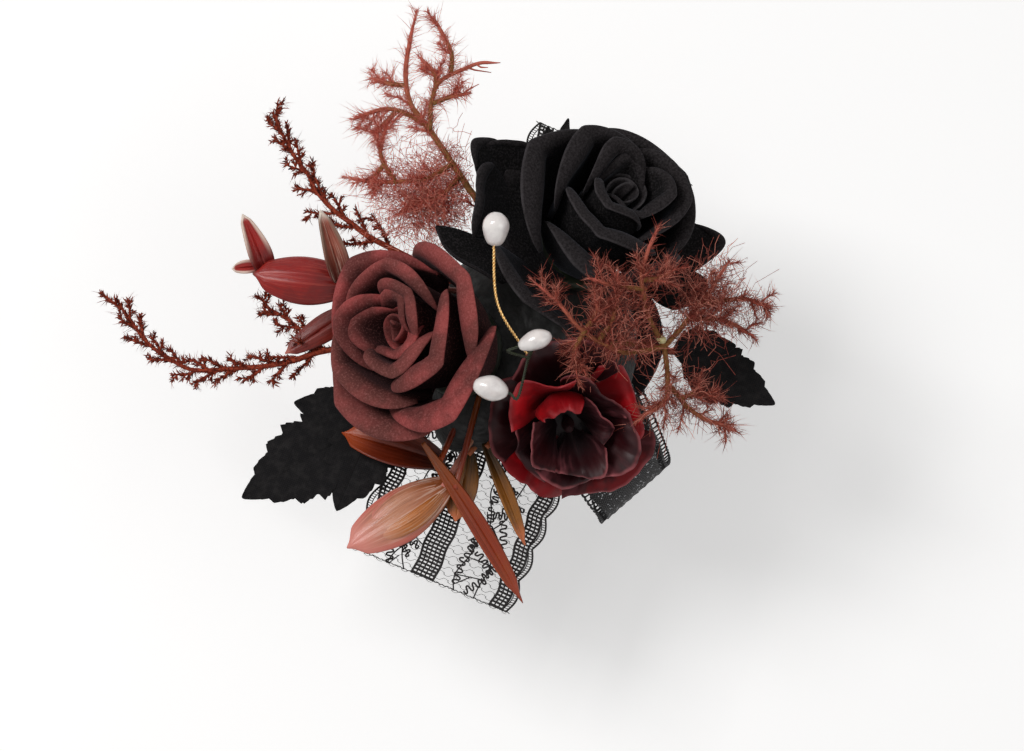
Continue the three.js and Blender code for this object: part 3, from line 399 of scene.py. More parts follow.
def velvet_look():
    sheen = {"Sheen_Weight": 0.14, "Sheen_Roughness": 0.34}
    look = Look("velvet_black", 0.9, (150, 156, 170), **sheen, Specular_IOR_Level=0.1)
    nap, pile, height = look.noise(260, 4, 0.6), look.noise(1900, 3, 0.7), look.share("pv")
    look.paint((6, 5, 5))
    look.paint((19, 17, 17), look.ramp(nap, 0.35, 0.7))
    # Painted light: each petal is painted lighter towards its lips, which leaves the rose's depth in painted
    # shade
    look.paint((42, 38, 39), look.times(look.ramp(height, 0.66, 0.9), 0.8))
    look.paint((64, 60, 62), look.ramp(pile, 0.46, 0.66, 0.0, 0.4))
    look.paint((4, 3, 4), look.ramp(pile, 0.34, 0.5, 0.55, 0.0))
    # Painted highlight: a thin pale line along each petal's rim stands in for the velvet's sheen
    rim = look.times(look.ramp(height, 0.968, 0.99), look.ramp(nap, 0.3, 0.6))
    look.paint((82, 78, 80), look.times(rim, 0.4))
    look.bump(look.noise(5200, 2, 0.6), 0.35, 0.00012)
    look.bump(nap, 0.12, 0.0006)
    return look.done(nap, 0.8, 0.97)


def foam_look():
    sheen = {"Sheen_Weight": 0.08, "Sheen_Roughness": 0.5}
    look = Look("foam_marsala", 0.88, (200, 150, 155), **sheen, Specular_IOR_Level=0.1)
    broad, grain = look.noise(85, 3, 0.6), look.noise(1900, 4, 0.75)
    look.paint((164, 76, 74))
    look.paint((102, 53, 50), look.ramp(broad, 0.36, 0.64))
    look.paint((104, 64, 58), look.ramp(look.share("tone"), 0.2, 1.0, 0.0, 0.5))
    # Painted shade: the lower part of each petal is painted near black, for the shade deep between the petals
    look.paint((18, 6, 6), look.ramp(look.share("pv"), 0.58, 0.97, 0.97, 0.0))
    # Pale specks over the grain: partly the foam's own grain, partly painted highlight
    look.paint((206, 134, 130), look.ramp(grain, 0.5, 0.68, 0.0, 0.22))
    look.paint((70, 30, 32), look.ramp(grain, 0.34, 0.5, 0.35, 0.0))
    look.bump(look.noise(3800, 3, 0.7), 0.3, 0.00016)
    look.bump(broad, 0.16, 0.001)
    return look.done(grain, 0.8, 0.96)


def silk_look():
    sheen = {"Sheen_Weight": 0.06, "Sheen_Roughness": 0.4}
    look = Look("silk_red", 0.5, (210, 130, 140), **sheen, Specular_IOR_Level=0.2)
    tone, height, broad = look.share("tone"), look.share("pv"), look.noise(95, 3, 0.6)
    along = look.noise(1.0, 3, 0.6, look.vector(look.times(look.share("pu"), 3.6), height, tone))
    # Painted light: petals with a high tone are painted bright red as if lit, and the others stay dark as
    # painted shade
    bright = look.ramp(tone, 0.3, 0.9)
    less = lambda most, fall: look.math("SUBTRACT", most, look.times(bright, fall))
    look.paint((48, 8, 12))
    look.paint((196, 20, 30), bright)
    # Painted shade: dark patches over the petals, fainter on the lit ones
    look.paint((34, 6, 10), look.times(look.ramp(broad, 0.6, 0.44), less(0.9, 0.38)))
    # Painted highlight: pale streaks along the petals stand in for the satin's sheen
    look.paint((128, 68, 74), look.times(look.ramp(along, 0.54, 0.7), less(0.6, 0.5)))
    # Painted shade: each petal darkens to near black towards its foot, deep in the flower
    look.paint((9, 1, 3), look.times(look.ramp(height, 0.25, 0.88, 0.98, 0.0), less(1.0, 0.3)))
    # Painted highlight: a pale line along each petal's rim
    tip = look.times(look.ramp(height, 0.93, 0.99), look.ramp(broad, 0.35, 0.55))
    look.paint((180, 96, 100), look.times(tip, 0.5))
    look.bump(along, 0.25, 0.0006)
    look.bump(look.noise(2600, 2, 0.6), 0.18, 0.00012)
    return look.done(along, 0.38, 0.66)


def leaf_look():
    look = Look("leaf_black_fabric", 0.9, (140, 140, 145), Sheen_Weight=0.1, Specular_IOR_Level=0.12)
    x, y = (look.node("ShaderNodeSeparateXYZ", k, {0: look.place}) for k in (0, 1))
    weave = look.times(look.wave(x, 9000.0), look.wave(y, 9000.0))
    look.paint((20, 19, 20))
    look.paint((38, 36, 36), look.ramp(look.noise(420, 4, 0.7), 0.4, 0.75))
    look.paint((52, 50, 50), look.ramp(weave, 0.2, 1.0, 0.0, 0.3))
    look.bump(weave, 0.25, 0.00012)
    look.bump(look.ramp(look.off_middle(), 0.0, 0.03), 0.4, 0.0004)
    return look.done()


def blade_look(name, foot, middle, tip, tip_from, streak, gloss, edge=None, marks=0.35):
    """Glossy plastic blades: colour runs from foot to tip, with fine streaks along the length."""
    look = Look(name, gloss, Coat_Weight=0.16, Coat_Roughness=0.2, Specular_IOR_Level=0.24)
    along, across = look.share("pv"), look.times(look.share("pu"), 20.0)
    lines = look.noise(1.0, 4, 0.65, look.vector(across, look.times(along, 1.8), look.share("tone")))
    look.paint(foot)
    look.paint(middle, look.ramp(along, 0.0, 0.55))
    look.paint(streak, look.ramp(lines, 0.5, 0.72, 0.0, marks))
    look.paint([c * 0.5 for c in foot], look.ramp(lines, 0.3, 0.48, marks, 0.0))
    look.paint(foot, look.ramp(look.noise(180, 3, 0.6), 0.45, 0.75, 0.0, 0.35))
    if edge:
        pale = look.times(look.ramp(look.off_middle(), 0.3, 0.46), look.ramp(along, 0.15, 0.6))
        look.paint(edge, look.times(pale, 0.85))
    look.paint(tip, look.ramp(along, tip_from, 1.0))
    look.bump(lines, 0.35, 0.0004)
    look.bump(look.noise(1500, 2, 0.6), 0.1, 0.0001)
    return look.done(lines, gloss - 0.1, gloss + 0.12)


def grain_look(name, gloss, grain, low, high, rough, bump, tip=None, top=0.7, tint=None, **settings):
    """A look with one grain, which mottles the colour and the roughness and gives the bump."""
    look = Look(name, gloss, tint, **settings)
    grain = look.noise(*grain)
    look.paint(low)
    look.paint(high, look.ramp(grain, 0.35, top))
    if tip:
        look.paint(tip, look.ramp(look.share("tone"), 0.45, 1.0))
    look.bump(grain, *bump)
    return look.done(grain, *rough)


def twig_look(name, low, high, tip):
    rough, bump = (0.6, 0.9), (0.5, 0.0002)
    return grain_look(name, 0.75, (1400, 3, 0.65), low, high, rough, bump, tip, 0.68, Specular_IOR_Level=0.14)


def pearl_look():
    coat = {"Coat_Weight": 0.8, "Coat_Roughness": 0.08}
    look = Look("pearl_white", 0.22, **coat, Sheen_Weight=0.15, Specular_IOR_Level=0.6)
    clouds = look.noise(330, 3, 0.5)
    look.paint((244, 238, 234))
    look.paint((222, 214, 212), look.ramp(clouds, 0.35, 0.65))
    look.paint((246, 232, 226), look.ramp(look.noise(170, 2, 0.5), 0.45, 0.7, 0.0, 0.4))
    look.bump(look.noise(520, 2, 0.5), 0.25, 0.0003)
    return look.done(clouds, 0.16, 0.3)


def elastic_look():
    look = Look("elastic_glitter", 0.62, Sheen_Weight=0.1, Specular_IOR_Level=0.24)
    knit = look.times(look.wave(look.share("pu"), 150.0), look.wave(look.share("pv"), 1500.0))
    spark = look.node("ShaderNodeTexVoronoi", "Color", {"Vector": look.place, "Scale": 2900})
    bright = look.math("GREATER_THAN", look.node("ShaderNodeSeparateColor", 0, {0: spark}), 0.955)
    look.paint((5, 4, 5))
    look.paint((26, 24, 25), look.ramp(knit, -0.6, 0.8))
    look.paint((170, 170, 174), look.times(bright, 0.7))
    connect(look.tree, look.times(bright, 0.9), look.shader["Metallic"])
    connect(look.tree, look.math("SUBTRACT", 0.62, look.times(bright, 0.35)), look.shader["Roughness"])
    look.bump(knit, 0.6, 0.0003)
    return look.done()


def tape_look():
    look = Look("floral_tape", 0.55, Specular_IOR_Level=0.4)
    place = look.node("ShaderNodeMapping", "Vector", {"Vector": look.place, "Scale": (420, 420, 2600)})
    crepe, broad = look.noise(1.0, 4, 0.6, place), look.noise(120, 3, 0.6)
    look.paint((12, 11, 10))
    look.paint((22, 19, 16), look.ramp(broad, 0.35, 0.7))
    look.paint((9, 8, 7), look.ramp(crepe, 0.4, 0.75, 0.0, 0.5))
    look.bump(crepe, 0.6, 0.0004)
    look.bump(broad, 0.3, 0.0015)
    return look.done(crepe, 0.45, 0.75)


# blades: name; colours of foot, middle and tip; where the tip starts; streaks, gloss, edge, streaks' share
BLADES = {
    "pod": ("pod_wine", (62, 8, 6), (146, 20, 14), (110, 40, 28), 0.94, (214, 92, 72), 0.24),
    "spike": (
        "pod_spike", (84, 16, 16), (158, 40, 36), (240, 226, 212), 0.86, (190, 84, 70), 0.34,
        (228, 206, 190),
    ),
    "slate": (
        "pod_slate", (90, 34, 28), (156, 84, 66), (238, 226, 212), 0.8, (234, 212, 192), 0.36,
        (128, 104, 88), 0.6,
    ),
    "bark": ("pod_bark", (70, 16, 8), (112, 28, 18), (190, 104, 88), 0.86, (168, 62, 44), 0.32),
    "pink": (
        "pod_pink", (146, 74, 32), (196, 134, 104), (222, 138, 126), 0.5, (246, 226, 212), 0.24,
        (218, 108, 96), 0.6,
    ),
    "grey": ("pod_grey_streak", (112, 62, 28), (156, 112, 78), (216, 144, 130), 0.7, (210, 198, 184), 0.32),
    "amber": (
        "pod_amber", (146, 78, 26), (190, 112, 52), (222, 156, 134), 0.5, (232, 222, 206), 0.28,
        None, 0.6,
    ),
    "rust": ("pod_rust", (142, 70, 22), (134, 46, 18), (150, 62, 38), 0.8, (184, 86, 40), 0.32),
    "brown": ("pod_brown", (54, 42, 16), (138, 84, 26), (206, 116, 76), 0.72, (176, 116, 44), 0.36),
    "ember": ("pod_ember", (44, 12, 4), (100, 30, 6), (166, 66, 20), 0.6, (140, 54, 16), 0.46),
}
# twigs: name; dark, light and tip colours
TWIGS = {
    "heather": ("heather_brown", (112, 40, 28), (168, 74, 50), (52, 18, 18)),
    "smoke": ("smoke_hair", (192, 88, 76), (230, 130, 112), (244, 166, 146)),
    "smoke_deep": ("smoke_hair_deep", (104, 42, 36), (172, 86, 72), (228, 146, 126)),
    "stem": ("smoke_stem", (118, 80, 44), (150, 106, 66), (190, 98, 84)),
    # The pip is painted near black as painted shade, so that the silk flower's centre reads as a dark hole
    "pip": ("pip_dark", (16, 3, 5), (38, 7, 11), (58, 12, 18)),
    "seed": ("seed_pale", (210, 200, 140), (228, 220, 176), (236, 230, 200)),
}
# other grains: name, gloss, noise; dark and light colours; roughness, bump
GRAINS = {
    "wire": (
        "wire_gold", 0.34, (2600, 3, 0.6), (196, 150, 88), (232, 200, 142), (0.26, 0.46), (0.2, 0.00008),
        {"Metallic": 0.95},
    ),
    "taped_wire": (
        "wire_taped_green", 0.5, (900, 3, 0.6), (20, 26, 14), (44, 50, 26), (0.4, 0.65), (0.4, 0.0002),
        {"Specular_IOR_Level": 0.4},
    ),
    "lace": (
        "lace_black", 0.72, (4200, 3, 0.6), (14, 12, 13), (44, 38, 38), (0.6, 0.85), (0.5, 0.00012),
        {"Sheen_Weight": 0.1, "Specular_IOR_Level": 0.3},
    ),
    "felt": (
        "felt_black", 0.97, (1600, 5, 0.75, None, 1.5), (18, 17, 19), (44, 42, 45), (0.9, 1.0), (0.7, 0.0004),
        {"tint": (120, 118, 122), "Sheen_Weight": 0.25, "Specular_IOR_Level": 0.1},
    ),
    "calyx": (
        "calyx_green", 0.5, (700, 3, 0.6), (22, 30, 18), (40, 46, 28), (0.4, 0.65), (0.3, 0.0003),
        {"Specular_IOR_Level": 0.45},
    ),
}
LOOKS = {
    "velvet": velvet_look(),
    "foam": foam_look(),
    "silk": silk_look(),
    "leaf": leaf_look(),
    "pearl": pearl_look(),
    "elastic": elastic_look(),
    "tape": tape_look(),
    **{key: blade_look(*row) for key, row in BLADES.items()},
    **{key: twig_look(*row) for key, row in TWIGS.items()},
    **{key: grain_look(*row, **settings) for key, (*row, settings) in GRAINS.items()},
}


# Roses

ROSES = {
    "black_rose": {
        "centre": (16, 20.5, 15.4),
        "axis": (0.44, 0.09, 0.893),
        "calyx": (12.2, 2.2, 8.5),
        "look": "velvet",
        "thickness": 0.9,
        "seed": 0,
        "core": (1.4, 1.45, 2.4, 24),
        # count, foot and rim radius, height, half span, lip, pinwheel, first turn
        "heart": (2, 4.4, 6.3, 24.6, 80, 0.7, 1.2, 60),
        "eye": (5.2, 19),
        "layers": {
            "inner": (3, 5.4, 8.4, 26, 73, 1.2, 1.5, 205),
            "middle": (3, 7.2, 14, 24, 72, 1.6, 1.8, 218),
            "outer": (3, 8.9, 19.6, 19.5, 70, 2, 2, 5),
        },
        # each guard piece is one stamp of lobes: turn, rim radius, height, half span, lip, skew, point
        "guards": {
            1: [
                (113, 29.2, 9, 13, 0.5, 0.14, 0.0),
                (125, 34, 9.5, 13, 0.8, 0.0, 0.2),
                (147, 29.2, 9, 22, 1.2, 0.02, -0.05),
                (177, 35, 3.5, 17, 0.4, -0.19, 0.1),
                (208, 29, 10, 33, 1.8, 0.05, 0.0),
            ],
            2: [
                (-47, 32, 6, 15, 0.8, 0.0, 0.2),
                (-21, 34.3, 7, 15, 0.8, 0.0, 0.2),
                (18, 27, 6, 18, 0.8, 0.0, 0.2),
            ],
        },
    },
    "marsala_rose": {
        "centre": (-22, 7.1, 14.8),
        "axis": (-0.522, 0.139, 0.842),
        "calyx": (11.8, 2.2, 8.5),
        "look": "foam",
        "thickness": 1.2,
        "seed": 7,
        "core": (1.3, 1.45, 2.4, 23),
        "heart": (3, 4.6, 6.7, 24.6, 76, 0.95, 1.3, 150),
        "eye": (6.2, 122),
        "layers": {
            "inner": (3, 6.2, 9.4, 26, 73, 1.3, 2, 20),
            "middle": (3, 8.3, 14.4, 25.5, 70, 1.6, 2.1, 66),
            "outer": (4, 10.4, 19.6, 21, 60, 2, 2.6, 102),
        },
        "guards": {},
    },
}
EYE_REACH = 23
EYE_HEIGHT = 23
GUARD_FOOT = 10.9


def eye_lean(amount, heading):
    """Leans a rose's heart towards one side, less and less towards its outer petals."""
    way = np.array([math.cos(math.radians(heading)), math.sin(math.radians(heading))])

    def change(points):
        fade = np.clip(1 - (np.linalg.norm(points[:, :2], axis=1) / EYE_REACH) ** 2, 0, 1)
        lean = amount * np.clip(points[:, 2] / EYE_HEIGHT, 0, 1.2) * fade
        return points + np.column_stack([way * lean[:, None], 0 * lean])

    return change


def petal_surface(
    base, rim, height, half_span, lip_radius, pinwheel, thickness, seed, skew=0.0, point=0.0, corner=1.0
):
    """The CAD petal, whose rim folds outwards along a crease and comes to a soft corner."""
    rng = np.random.default_rng(seed)
    foot = GAP + thickness / 2
    phase = rng.uniform(0, 6.28, 3)
    peak = rng.uniform(-0.35, 0.35)
    span = math.radians(half_span)

    def surface(U, V):
        side = 2 * U - 1
        narrow = 1 - 0.75 * max(0, point) * smoothstep((V - 0.45) / 0.55)
        angle = span * side * (0.35 + 0.65 * np.sin(np.pi / 2 * np.minimum(1, V / 0.6))) * narrow
        rise = np.minimum(1, V / 0.7)
        top = height * (1 - 0.15 * side**2 - 0.09 * side**8)
        reach = rim * (1 + skew * side - 0.5 * point * side**2)
        radius = mix(base, reach, rise**0.62)
        z = mix(foot, top, rise)
        # A petal is flatter than the circle through its rim
        chord = math.cos(span / 2) / np.cos(np.abs(angle) - span / 2)
        radius = radius * (1 + 0.55 * rise**2 * (chord - 1) * (1 - side**4))
        away = np.abs(side - peak)
        radius = radius + corner * rise**2 * (0.75 - 1.5 * away + 0.5 * away**2)
        curl = np.clip((V - 0.7) / 0.3, 0, 1) * math.radians(112)
        lip = 1.9 * lip_radius * np.maximum(0.02, 1 - np.abs(side) ** 2.6) ** 0.8
        lip = lip * (1 + 0.2 * np.sin(3.1 * side + phase[0]))
        radius = radius + lip * (1 - np.cos(curl)) + pinwheel * side * (0.2 + 0.8 * V)
        radius = radius + 0.4 * rise**2 * np.sin(4.2 * side + phase[1])
        z = z + lip * np.sin(curl) + 0.5 * rise**3 * np.sin(3.4 * side + phase[2])
        return polar(radius, angle, z)

    return surface


def core_surface(inner, pitch, turns, height):
    """The rolled bud, wound tight at first and then opening in looser, lower turns with a flared rim."""

    def surface(U, V):
        turn = TURN * turns * U
        radius = (inner + pitch * turns * U**1.3) * (0.72 + 0.28 * V) + (0.3 + 1.5 * U) * V**5
        top = height * (0.88 + 0.12 * np.cos(turn / 2) ** 2) - 1.4 * U**2 + 0.6 * np.sin(1.7 * turn)
        return polar(radius, turn, mix(GAP, top, V))

    return surface


def guard_web(first, last, reach, foot, number):
    """The stamp's web, from which its lobes spread."""

    def surface(U, V):
        angle = np.radians(mix(first, last, U))
        radius = mix(GUARD_FOOT, reach, V) * (1 + 0.03 * np.sin(9 * U))
        return polar(radius, angle, foot + 4.2 * V**0.8 + 0.5 * np.sin(14 * U + number) * V)

    return surface


for rose_name, rose in ROSES.items():
    place, lean = leaning(rose["centre"], rose["axis"]), eye_lean(*rose["eye"])
    look, thickness = rose["look"], rose["thickness"]
    calyx_radius, stem_radius, stem_length = rose["calyx"]
    stem = [(0, -stem_length), (stem_radius, -stem_length), (stem_radius, -stem_length / 2)]
    cup = [(calyx_radius, -calyx_radius / 5), (calyx_radius, 0), (0, 0)]
    body = Build()
    add_turned(body, rounded_profile(stem + cup, 0.8), 56, matrix=place)
    add_piece(body, rose_name + "_calyx_formed", "calyx", "calyx", rose_name + "_calyx")
    body = Build()
    roll = core_surface(*rose["core"])
    add_sheet(body, roll, edge_shares(220, 0.01), edge_shares(20, 0.05), thickness, width=0.03, thin=0.3)
    # The bud's own last petals, which close in round its roll
    count, *shape, first = rose["heart"]
    for i in range(count):
        surface, spot = petal_surface(*shape, thickness, 700 + i), turned(first + 360 / count * i)
        add_sheet(body, surface, 40, 30, thickness, tone=0.3 * i, matrix=spot, thin=0.4)
    body.bend(lean, place)
    add_piece(body, rose_name + "_bud_rolled", look, look, rose_name + "_bud_roll")
    for depth, (layer, (count, *shape, first)) in enumerate(rose["layers"].items()):
        for i in range(count):
            seed = 100 * depth + i + rose["seed"]
            tone = np.random.default_rng(seed).uniform(0, 1)
            surface, spot = petal_surface(*shape, thickness, seed), turned(first + 360 / count * i)
            body = Build()
            add_sheet(body, surface, 48, 38, thickness * 1.1, tone=tone, matrix=spot, thin=0.4)
            body.bend(lean, place)
            name, node = f"{rose_name}_{layer}_{i + 1}_formed", f"{rose_name}_petal_{layer}_{i + 1}"
            add_piece(body, name, look, look, node)
    for number, lobes in rose["guards"].items():
        first, last = lobes[0][0] - lobes[0][3] / 2, lobes[-1][0] + lobes[-1][3] / 2
        web_reach = min(row[1] for row in lobes) * 0.86
        web = guard_web(first, last, web_reach, GAP + thickness / 2, number)
        body = Build()
        add_sheet(body, web, edge_shares(90, 0.02), 24, thickness, tone=0.4, matrix=place)
        for k, (turn, rim, height, span, lip, skew, point) in enumerate(lobes):
            seed, pinwheel, corner = 400 + 10 * number + k, 0.6, 0.3
            shape = (GUARD_FOOT, rim, height, span, lip, pinwheel, thickness, seed, skew, point, corner)
            spot = place @ turned(turn)
            add_sheet(body, petal_surface(*shape), 44, 34, thickness, tone=0.5, matrix=spot, thin=0.4)
        name, node = f"{rose_name}_guard_{number}_formed", f"{rose_name}_petal_guard_{number}"
        add_piece(body, name, look, look, node)


# Silk flower

silk_place = leaning((-3.9, -18.6, 15.4), (-0.117, -0.533, 0.838))
# name, foot and rim radius, height, half span, ruffle, and how bright each petal is painted: painted light on
# the petals that face the light, painted shade on the rest
WHORLS = [
    ("outer", 5.2, 20.5, 8, 44, 1.5, (1.0, 0.1, 0.05, 0.75, 0.5)),
    ("middle", 3.8, 15.5, 14, 44, 1.4, (0.2, 1.0, 0.1, 0.25, 0.3)),
    ("inner", 2.6, 11, 17, 46, 1.1, (0.95, 0.05, 0.2, 0.1)),
]
# One inner petal is broader than the others and bends over as a hood
HOODED, HOOD = ("inner", 0), 5.0
WHORL_STEP, DISC_THICKNESS, SILK_THICKNESS = 0.8, 0.5, 0.45


def silk_surface(count, base, rim, height, span, ruffle, foot, k, seed, hood):
    """A thin petal, no two alike, with creases that fan out to a torn, waved rim."""
    rng = np.random.default_rng(seed)
    phase = rng.uniform(0, 6.28, 6)
    rim = rim * (1 + 0.08 * math.sin(2.4 * k + count))
    height = height * (1 + 0.14 * math.cos(1.9 * k + count))
    fold = lambda x: 2 * np.sqrt(((x % 1) - 0.5) ** 2 + 0.002) - 0.5
    crease = rng.uniform(-0.25, 0.25)

    def surface(U, V):
        side = 2 * U - 1
        angle = math.radians(span) * side * (0.3 + 0.7 * np.sin(np.pi / 2 * np.minimum(1, V / 0.7)))
        torn = 0.06 * np.sin(3 * side + phase[0]) + 0.13 * fold(1.6 * U + phase[5])
        torn = torn + 0.012 * fold(7.3 * U + phase[2])
        reach = mix(base, rim, V * (1 - 0.12 * side**2 + torn * V**2))
        wave = ruffle * V**2 * np.sin(2.2 * np.pi * U + count)
        wave = wave + 3.4 * V**2 * fold(1.2 * U + phase[1])
        wave = wave + 0.9 * V**1.5 * fold(2.3 * U + 0.9 * V + phase[4])
        wave = wave + 0.14 * V * fold(6.7 * U + 1.6 * V + phase[3])
        wave = wave - 4.2 * V**1.5 * np.maximum(0, 0.5 - np.abs(side - crease))
        curl = np.clip((V - 0.72) / 0.28, 0, 1)
        z = mix(foot, height, V**1.4) + wave - (1.6 + 1.4 * np.cos(3 * side + phase[3])) * curl**2
        reach = reach + 0.9 * V**2 * np.sin(3 * side + phase[2]) - 0.4 * V**2 * fold(3.1 * U + phase[0])
        reach = reach + hood * (0.5 * np.sin(np.pi * V) - V**3)
        return polar(reach, angle, z)

    return surface


body = Build()
cup = [(0, -8), (2, -8), (2, -4), (7, -1.4), (7, 0), (0, 0)]
add_turned(body, rounded_profile(cup, 0.6), 48, matrix=silk_place)
add_piece(body, "silk_flower_calyx_formed", "calyx", "calyx", "silk_flower_calyx")
for i, (layer, base, rim, height, span, ruffle, tones) in enumerate(WHORLS):
    foot, count = GAP + i * WHORL_STEP, len(tones)
    body = Build()
    top = foot + DISC_THICKNESS
    disc = [(0, foot), (base + 1, foot), (base + 1, top), (0, top)]
    add_turned(body, rounded_profile(disc, 0.15), 40, matrix=silk_place)
    body.shares[-1][:, 1] = 0
    for k, tone in enumerate(tones):
        hood = HOOD if (layer, k) == HOODED else 0.0
        middle = foot + DISC_THICKNESS / 2
        shape = (count, base, rim + 0.3 * hood, height, span, ruffle, middle, k, 40 * i + k, hood)
        spot = silk_place @ turned(360 / count * (k + i / 2))
        add_sheet(body, silk_surface(*shape), 64, 34, SILK_THICKNESS, tone=tone, matrix=spot)
    add_piece(body, f"silk_flower_{layer}_formed", "silk", "silk", "silk_flower_whorl_" + layer)
body = Build()
PIP_FOOT, PIP_LENGTH = 2.7, 7.2
pip = [(0, 0), (0.9, 0), (1.8, PIP_LENGTH / 2), (0.9, PIP_LENGTH), (0, PIP_LENGTH)]
pip = [(radius, PIP_FOOT + height) for radius, height in pip]
add_turned(body, rounded_profile(pip, 1.2), 30, matrix=silk_place, lump=0.25, seed=4)
add_piece(body, "silk_flower_pip_formed", "pip", "silk", "silk_flower_pip")


# Serrated leaves

LEAF_THICKNESS, TOOTH = 0.5, 0.11


def leaf_surface(length, width, teeth, seed):
    """A leaf with saw teeth, each with finer ones, that reach a share TOOTH in or out of its edge."""
    phase = np.random.default_rng(seed).uniform(0, 6.28, 2)

    def surface(U, V):
        side = 2 * U - 1
        half = width / 2 * np.sin(np.pi * np.minimum(1, V**0.75))
        saw = (V * teeth) % 1
        tooth = np.where(saw < 0.85, saw / 0.85, (1 - saw) / 0.15)
        fine = (V * teeth * 2.6 + 0.3 * np.sin(5 * V + phase[0])) % 1
        half = half * (1 - TOOTH + 2 * TOOTH * tooth + 0.05 * fine) + width * 0.015 * (1 - V)
        x = V * length + 0.06 * length / teeth * np.abs(side) ** 3 * tooth
        z = 0.9 * V * (1 - V) * np.sin(6 * V + phase[0]) + 0.35 * np.sin(9 * V + phase[1]) * side**2
        return np.stack([x, half * side, z - 0.35 * (1 - np.abs(side)) ** 6], -1)

    return surface


# root; stem; leaflets, each a length, width, teeth, where it leaves the stem, and turn
SPRAYS = {
    "leaf_spray_left": (
        (184, 0.72, 0.13),
        32,
        [(34, 20, 6, 0.9, 4), (22, 15, 5, 0.72, -38), (25, 16, 5, 0.75, 40)],
    ),
    "leaf_spray_right": ((-26, 0.72, 0.13), 22, [(27, 15, 6, 0.85, -27), (16, 11, 4, 0.75, 8)]),
    "leaf_spray_back": (
        (62, 0.72, 0.13, None, 3.5),
        20,
        [(21.4, 8, 5, 0.8, 1), (24.2, 8, 5, 0.8, -11), (31.5, 11, 6, 0.85, -55)],
    ),
}
for spray_name, (root, stem, leaflets) in SPRAYS.items():
    place = rooted(*root)
    body = Build()
    add_tube(body, smooth_route([(0, 0, 0), (9, 0, 0), (stem, 0, 0)], 16), 0.9, 10, matrix=place)
    for k, (length, width, teeth, share, turn) in enumerate(leaflets):
        surface = leaf_surface(length, width, teeth, 3 * k + len(spray_name))
        at = shifted(share * stem, 0, 0.12 * k) @ turned(turn)
        along = np.unique(np.concatenate([edge_shares(20), np.linspace(0, 1, teeth * 12 + 1)]))
        add_sheet(body, surface, 16, along, LEAF_THICKNESS, tone=k / 3, matrix=place @ at)
    add_piece(body, spray_name + "_fabric", "leaf", "leaf", spray_name)


# Pods

POD_THICKNESS = 0.7


def pod_surface(length, width, cup, arch, widest=0.49, bow=0.0, crease=0.4, lift=0.0, drop=0.0):
    """A keeled blade; lift raises its middle and drop lowers all of it."""
    power = math.log(0.5) / math.log(0.06 + 0.9 * widest)

    def surface(U, V):
        side = 2 * U - 1
        half = width / 2 * (0.12 + 0.88 * np.sin(np.pi * (0.06 + 0.9 * V) ** power) ** 0.8)
        half = half * (1 - 0.9 * smoothstep((V - 0.86) / 0.14))
        z = cup * side**2 * np.sin(np.pi * V) - arch * (2 * V - 1) ** 2
        z = z - crease * np.exp(-((side / 0.12) ** 2)) * np.sin(np.pi * V)
        z = z + lift * np.sin(np.pi * V) - drop
        return np.stack([length * V, half * side + 4 * bow * V * (1 - V), z], -1)

    return surface


# root; stem; blade's length, width, cup, arch, widest share; lift, turn; where the stem meets it, sideways
# bow; looks, slot
PODS = {
    "pod_left_boat": (
        (124.5, 0.674, 0.6, 150, 8.8), 30.5, (26.1, 12.4, -3.2, 1.5, 0.49), -11, 0.1, 0.05, 0,
        "pod", "pod",
    ),
    "pod_left_spike_high": (
        (118, 0.7, 0.8, 152.1, 8.6), 33.1, (18.6, 6, 1.6, 1, 0.25), 14, -64.9, 0.05, 0,
        "slate", "pod",
    ),
    "pod_left_spike_far": (
        (135, 0.6, 0.12, 143.3, 5), 53.5, (15.6, 6, 1.6, 1, 0.25), 16, -51, 0.05, 0,
        "spike", "pod",
    ),
    "pod_left_leaf": (
        (130, 0.9, 0.39, 168.3, 9.6), 25.6, (19, 7, -0.8, 1, 0.35), -12, 22.1, 0.05, 0,
        "bark", "rust",
    ),
    "pod_low_pink": (
        (216, 0.62, 0.3, 217.2, 5.8), 26.6, (29.8, 13.4, -3.6, 1.5, 0.49), -7, -27.9, 0.05, 0,
        "pink grey amber", "pink_pod",
    ),
    "pod_low_inner": (
        (228, 0.62, 0.2, 208.6, 2), 16.4, (18, 8, -0.8, 1, 0.49), -5, 27.7, 0.05, 0,
        "brown", "rust",
    ),
    "pod_low_spear_long": (
        (205, 0.7, 0.8, 232.5, -1.6), 24.8, (47, 4.6, 0.8, -2.9, 0.58), -11.5, 47, 0.3, 1,
        "rust", "rust",
    ),
    "pod_low_spear_short": (
        (240, 0.62, 0.3, 207.5, 14), 14.7, (27.6, 3.8, 0.8, 1, 0.49), -16, 64.7, 0.05, 0,
        "brown", "rust",
    ),
    "pod_low_leaf": (
        (200, 0.8, 0.4, 224.3, 8), 17.7, (27.4, 10.5, 1.6, 1, 0.49), -6, -85.5, 0.05, 0,
        "ember", "rust",
    ),
}
BUDS = ("pod_left_boat", "pod_low_pink")


def blade_matrix(place, stem, length, arch, lift, turn, foot, bow):
    spot = shifted(-length * foot, -4 * bow * foot * (1 - foot), arch * (2 * foot - 1) ** 2)
    return place @ shifted(stem, 0, 0) @ turned(turn) @ turned(-lift, "Y") @ spot


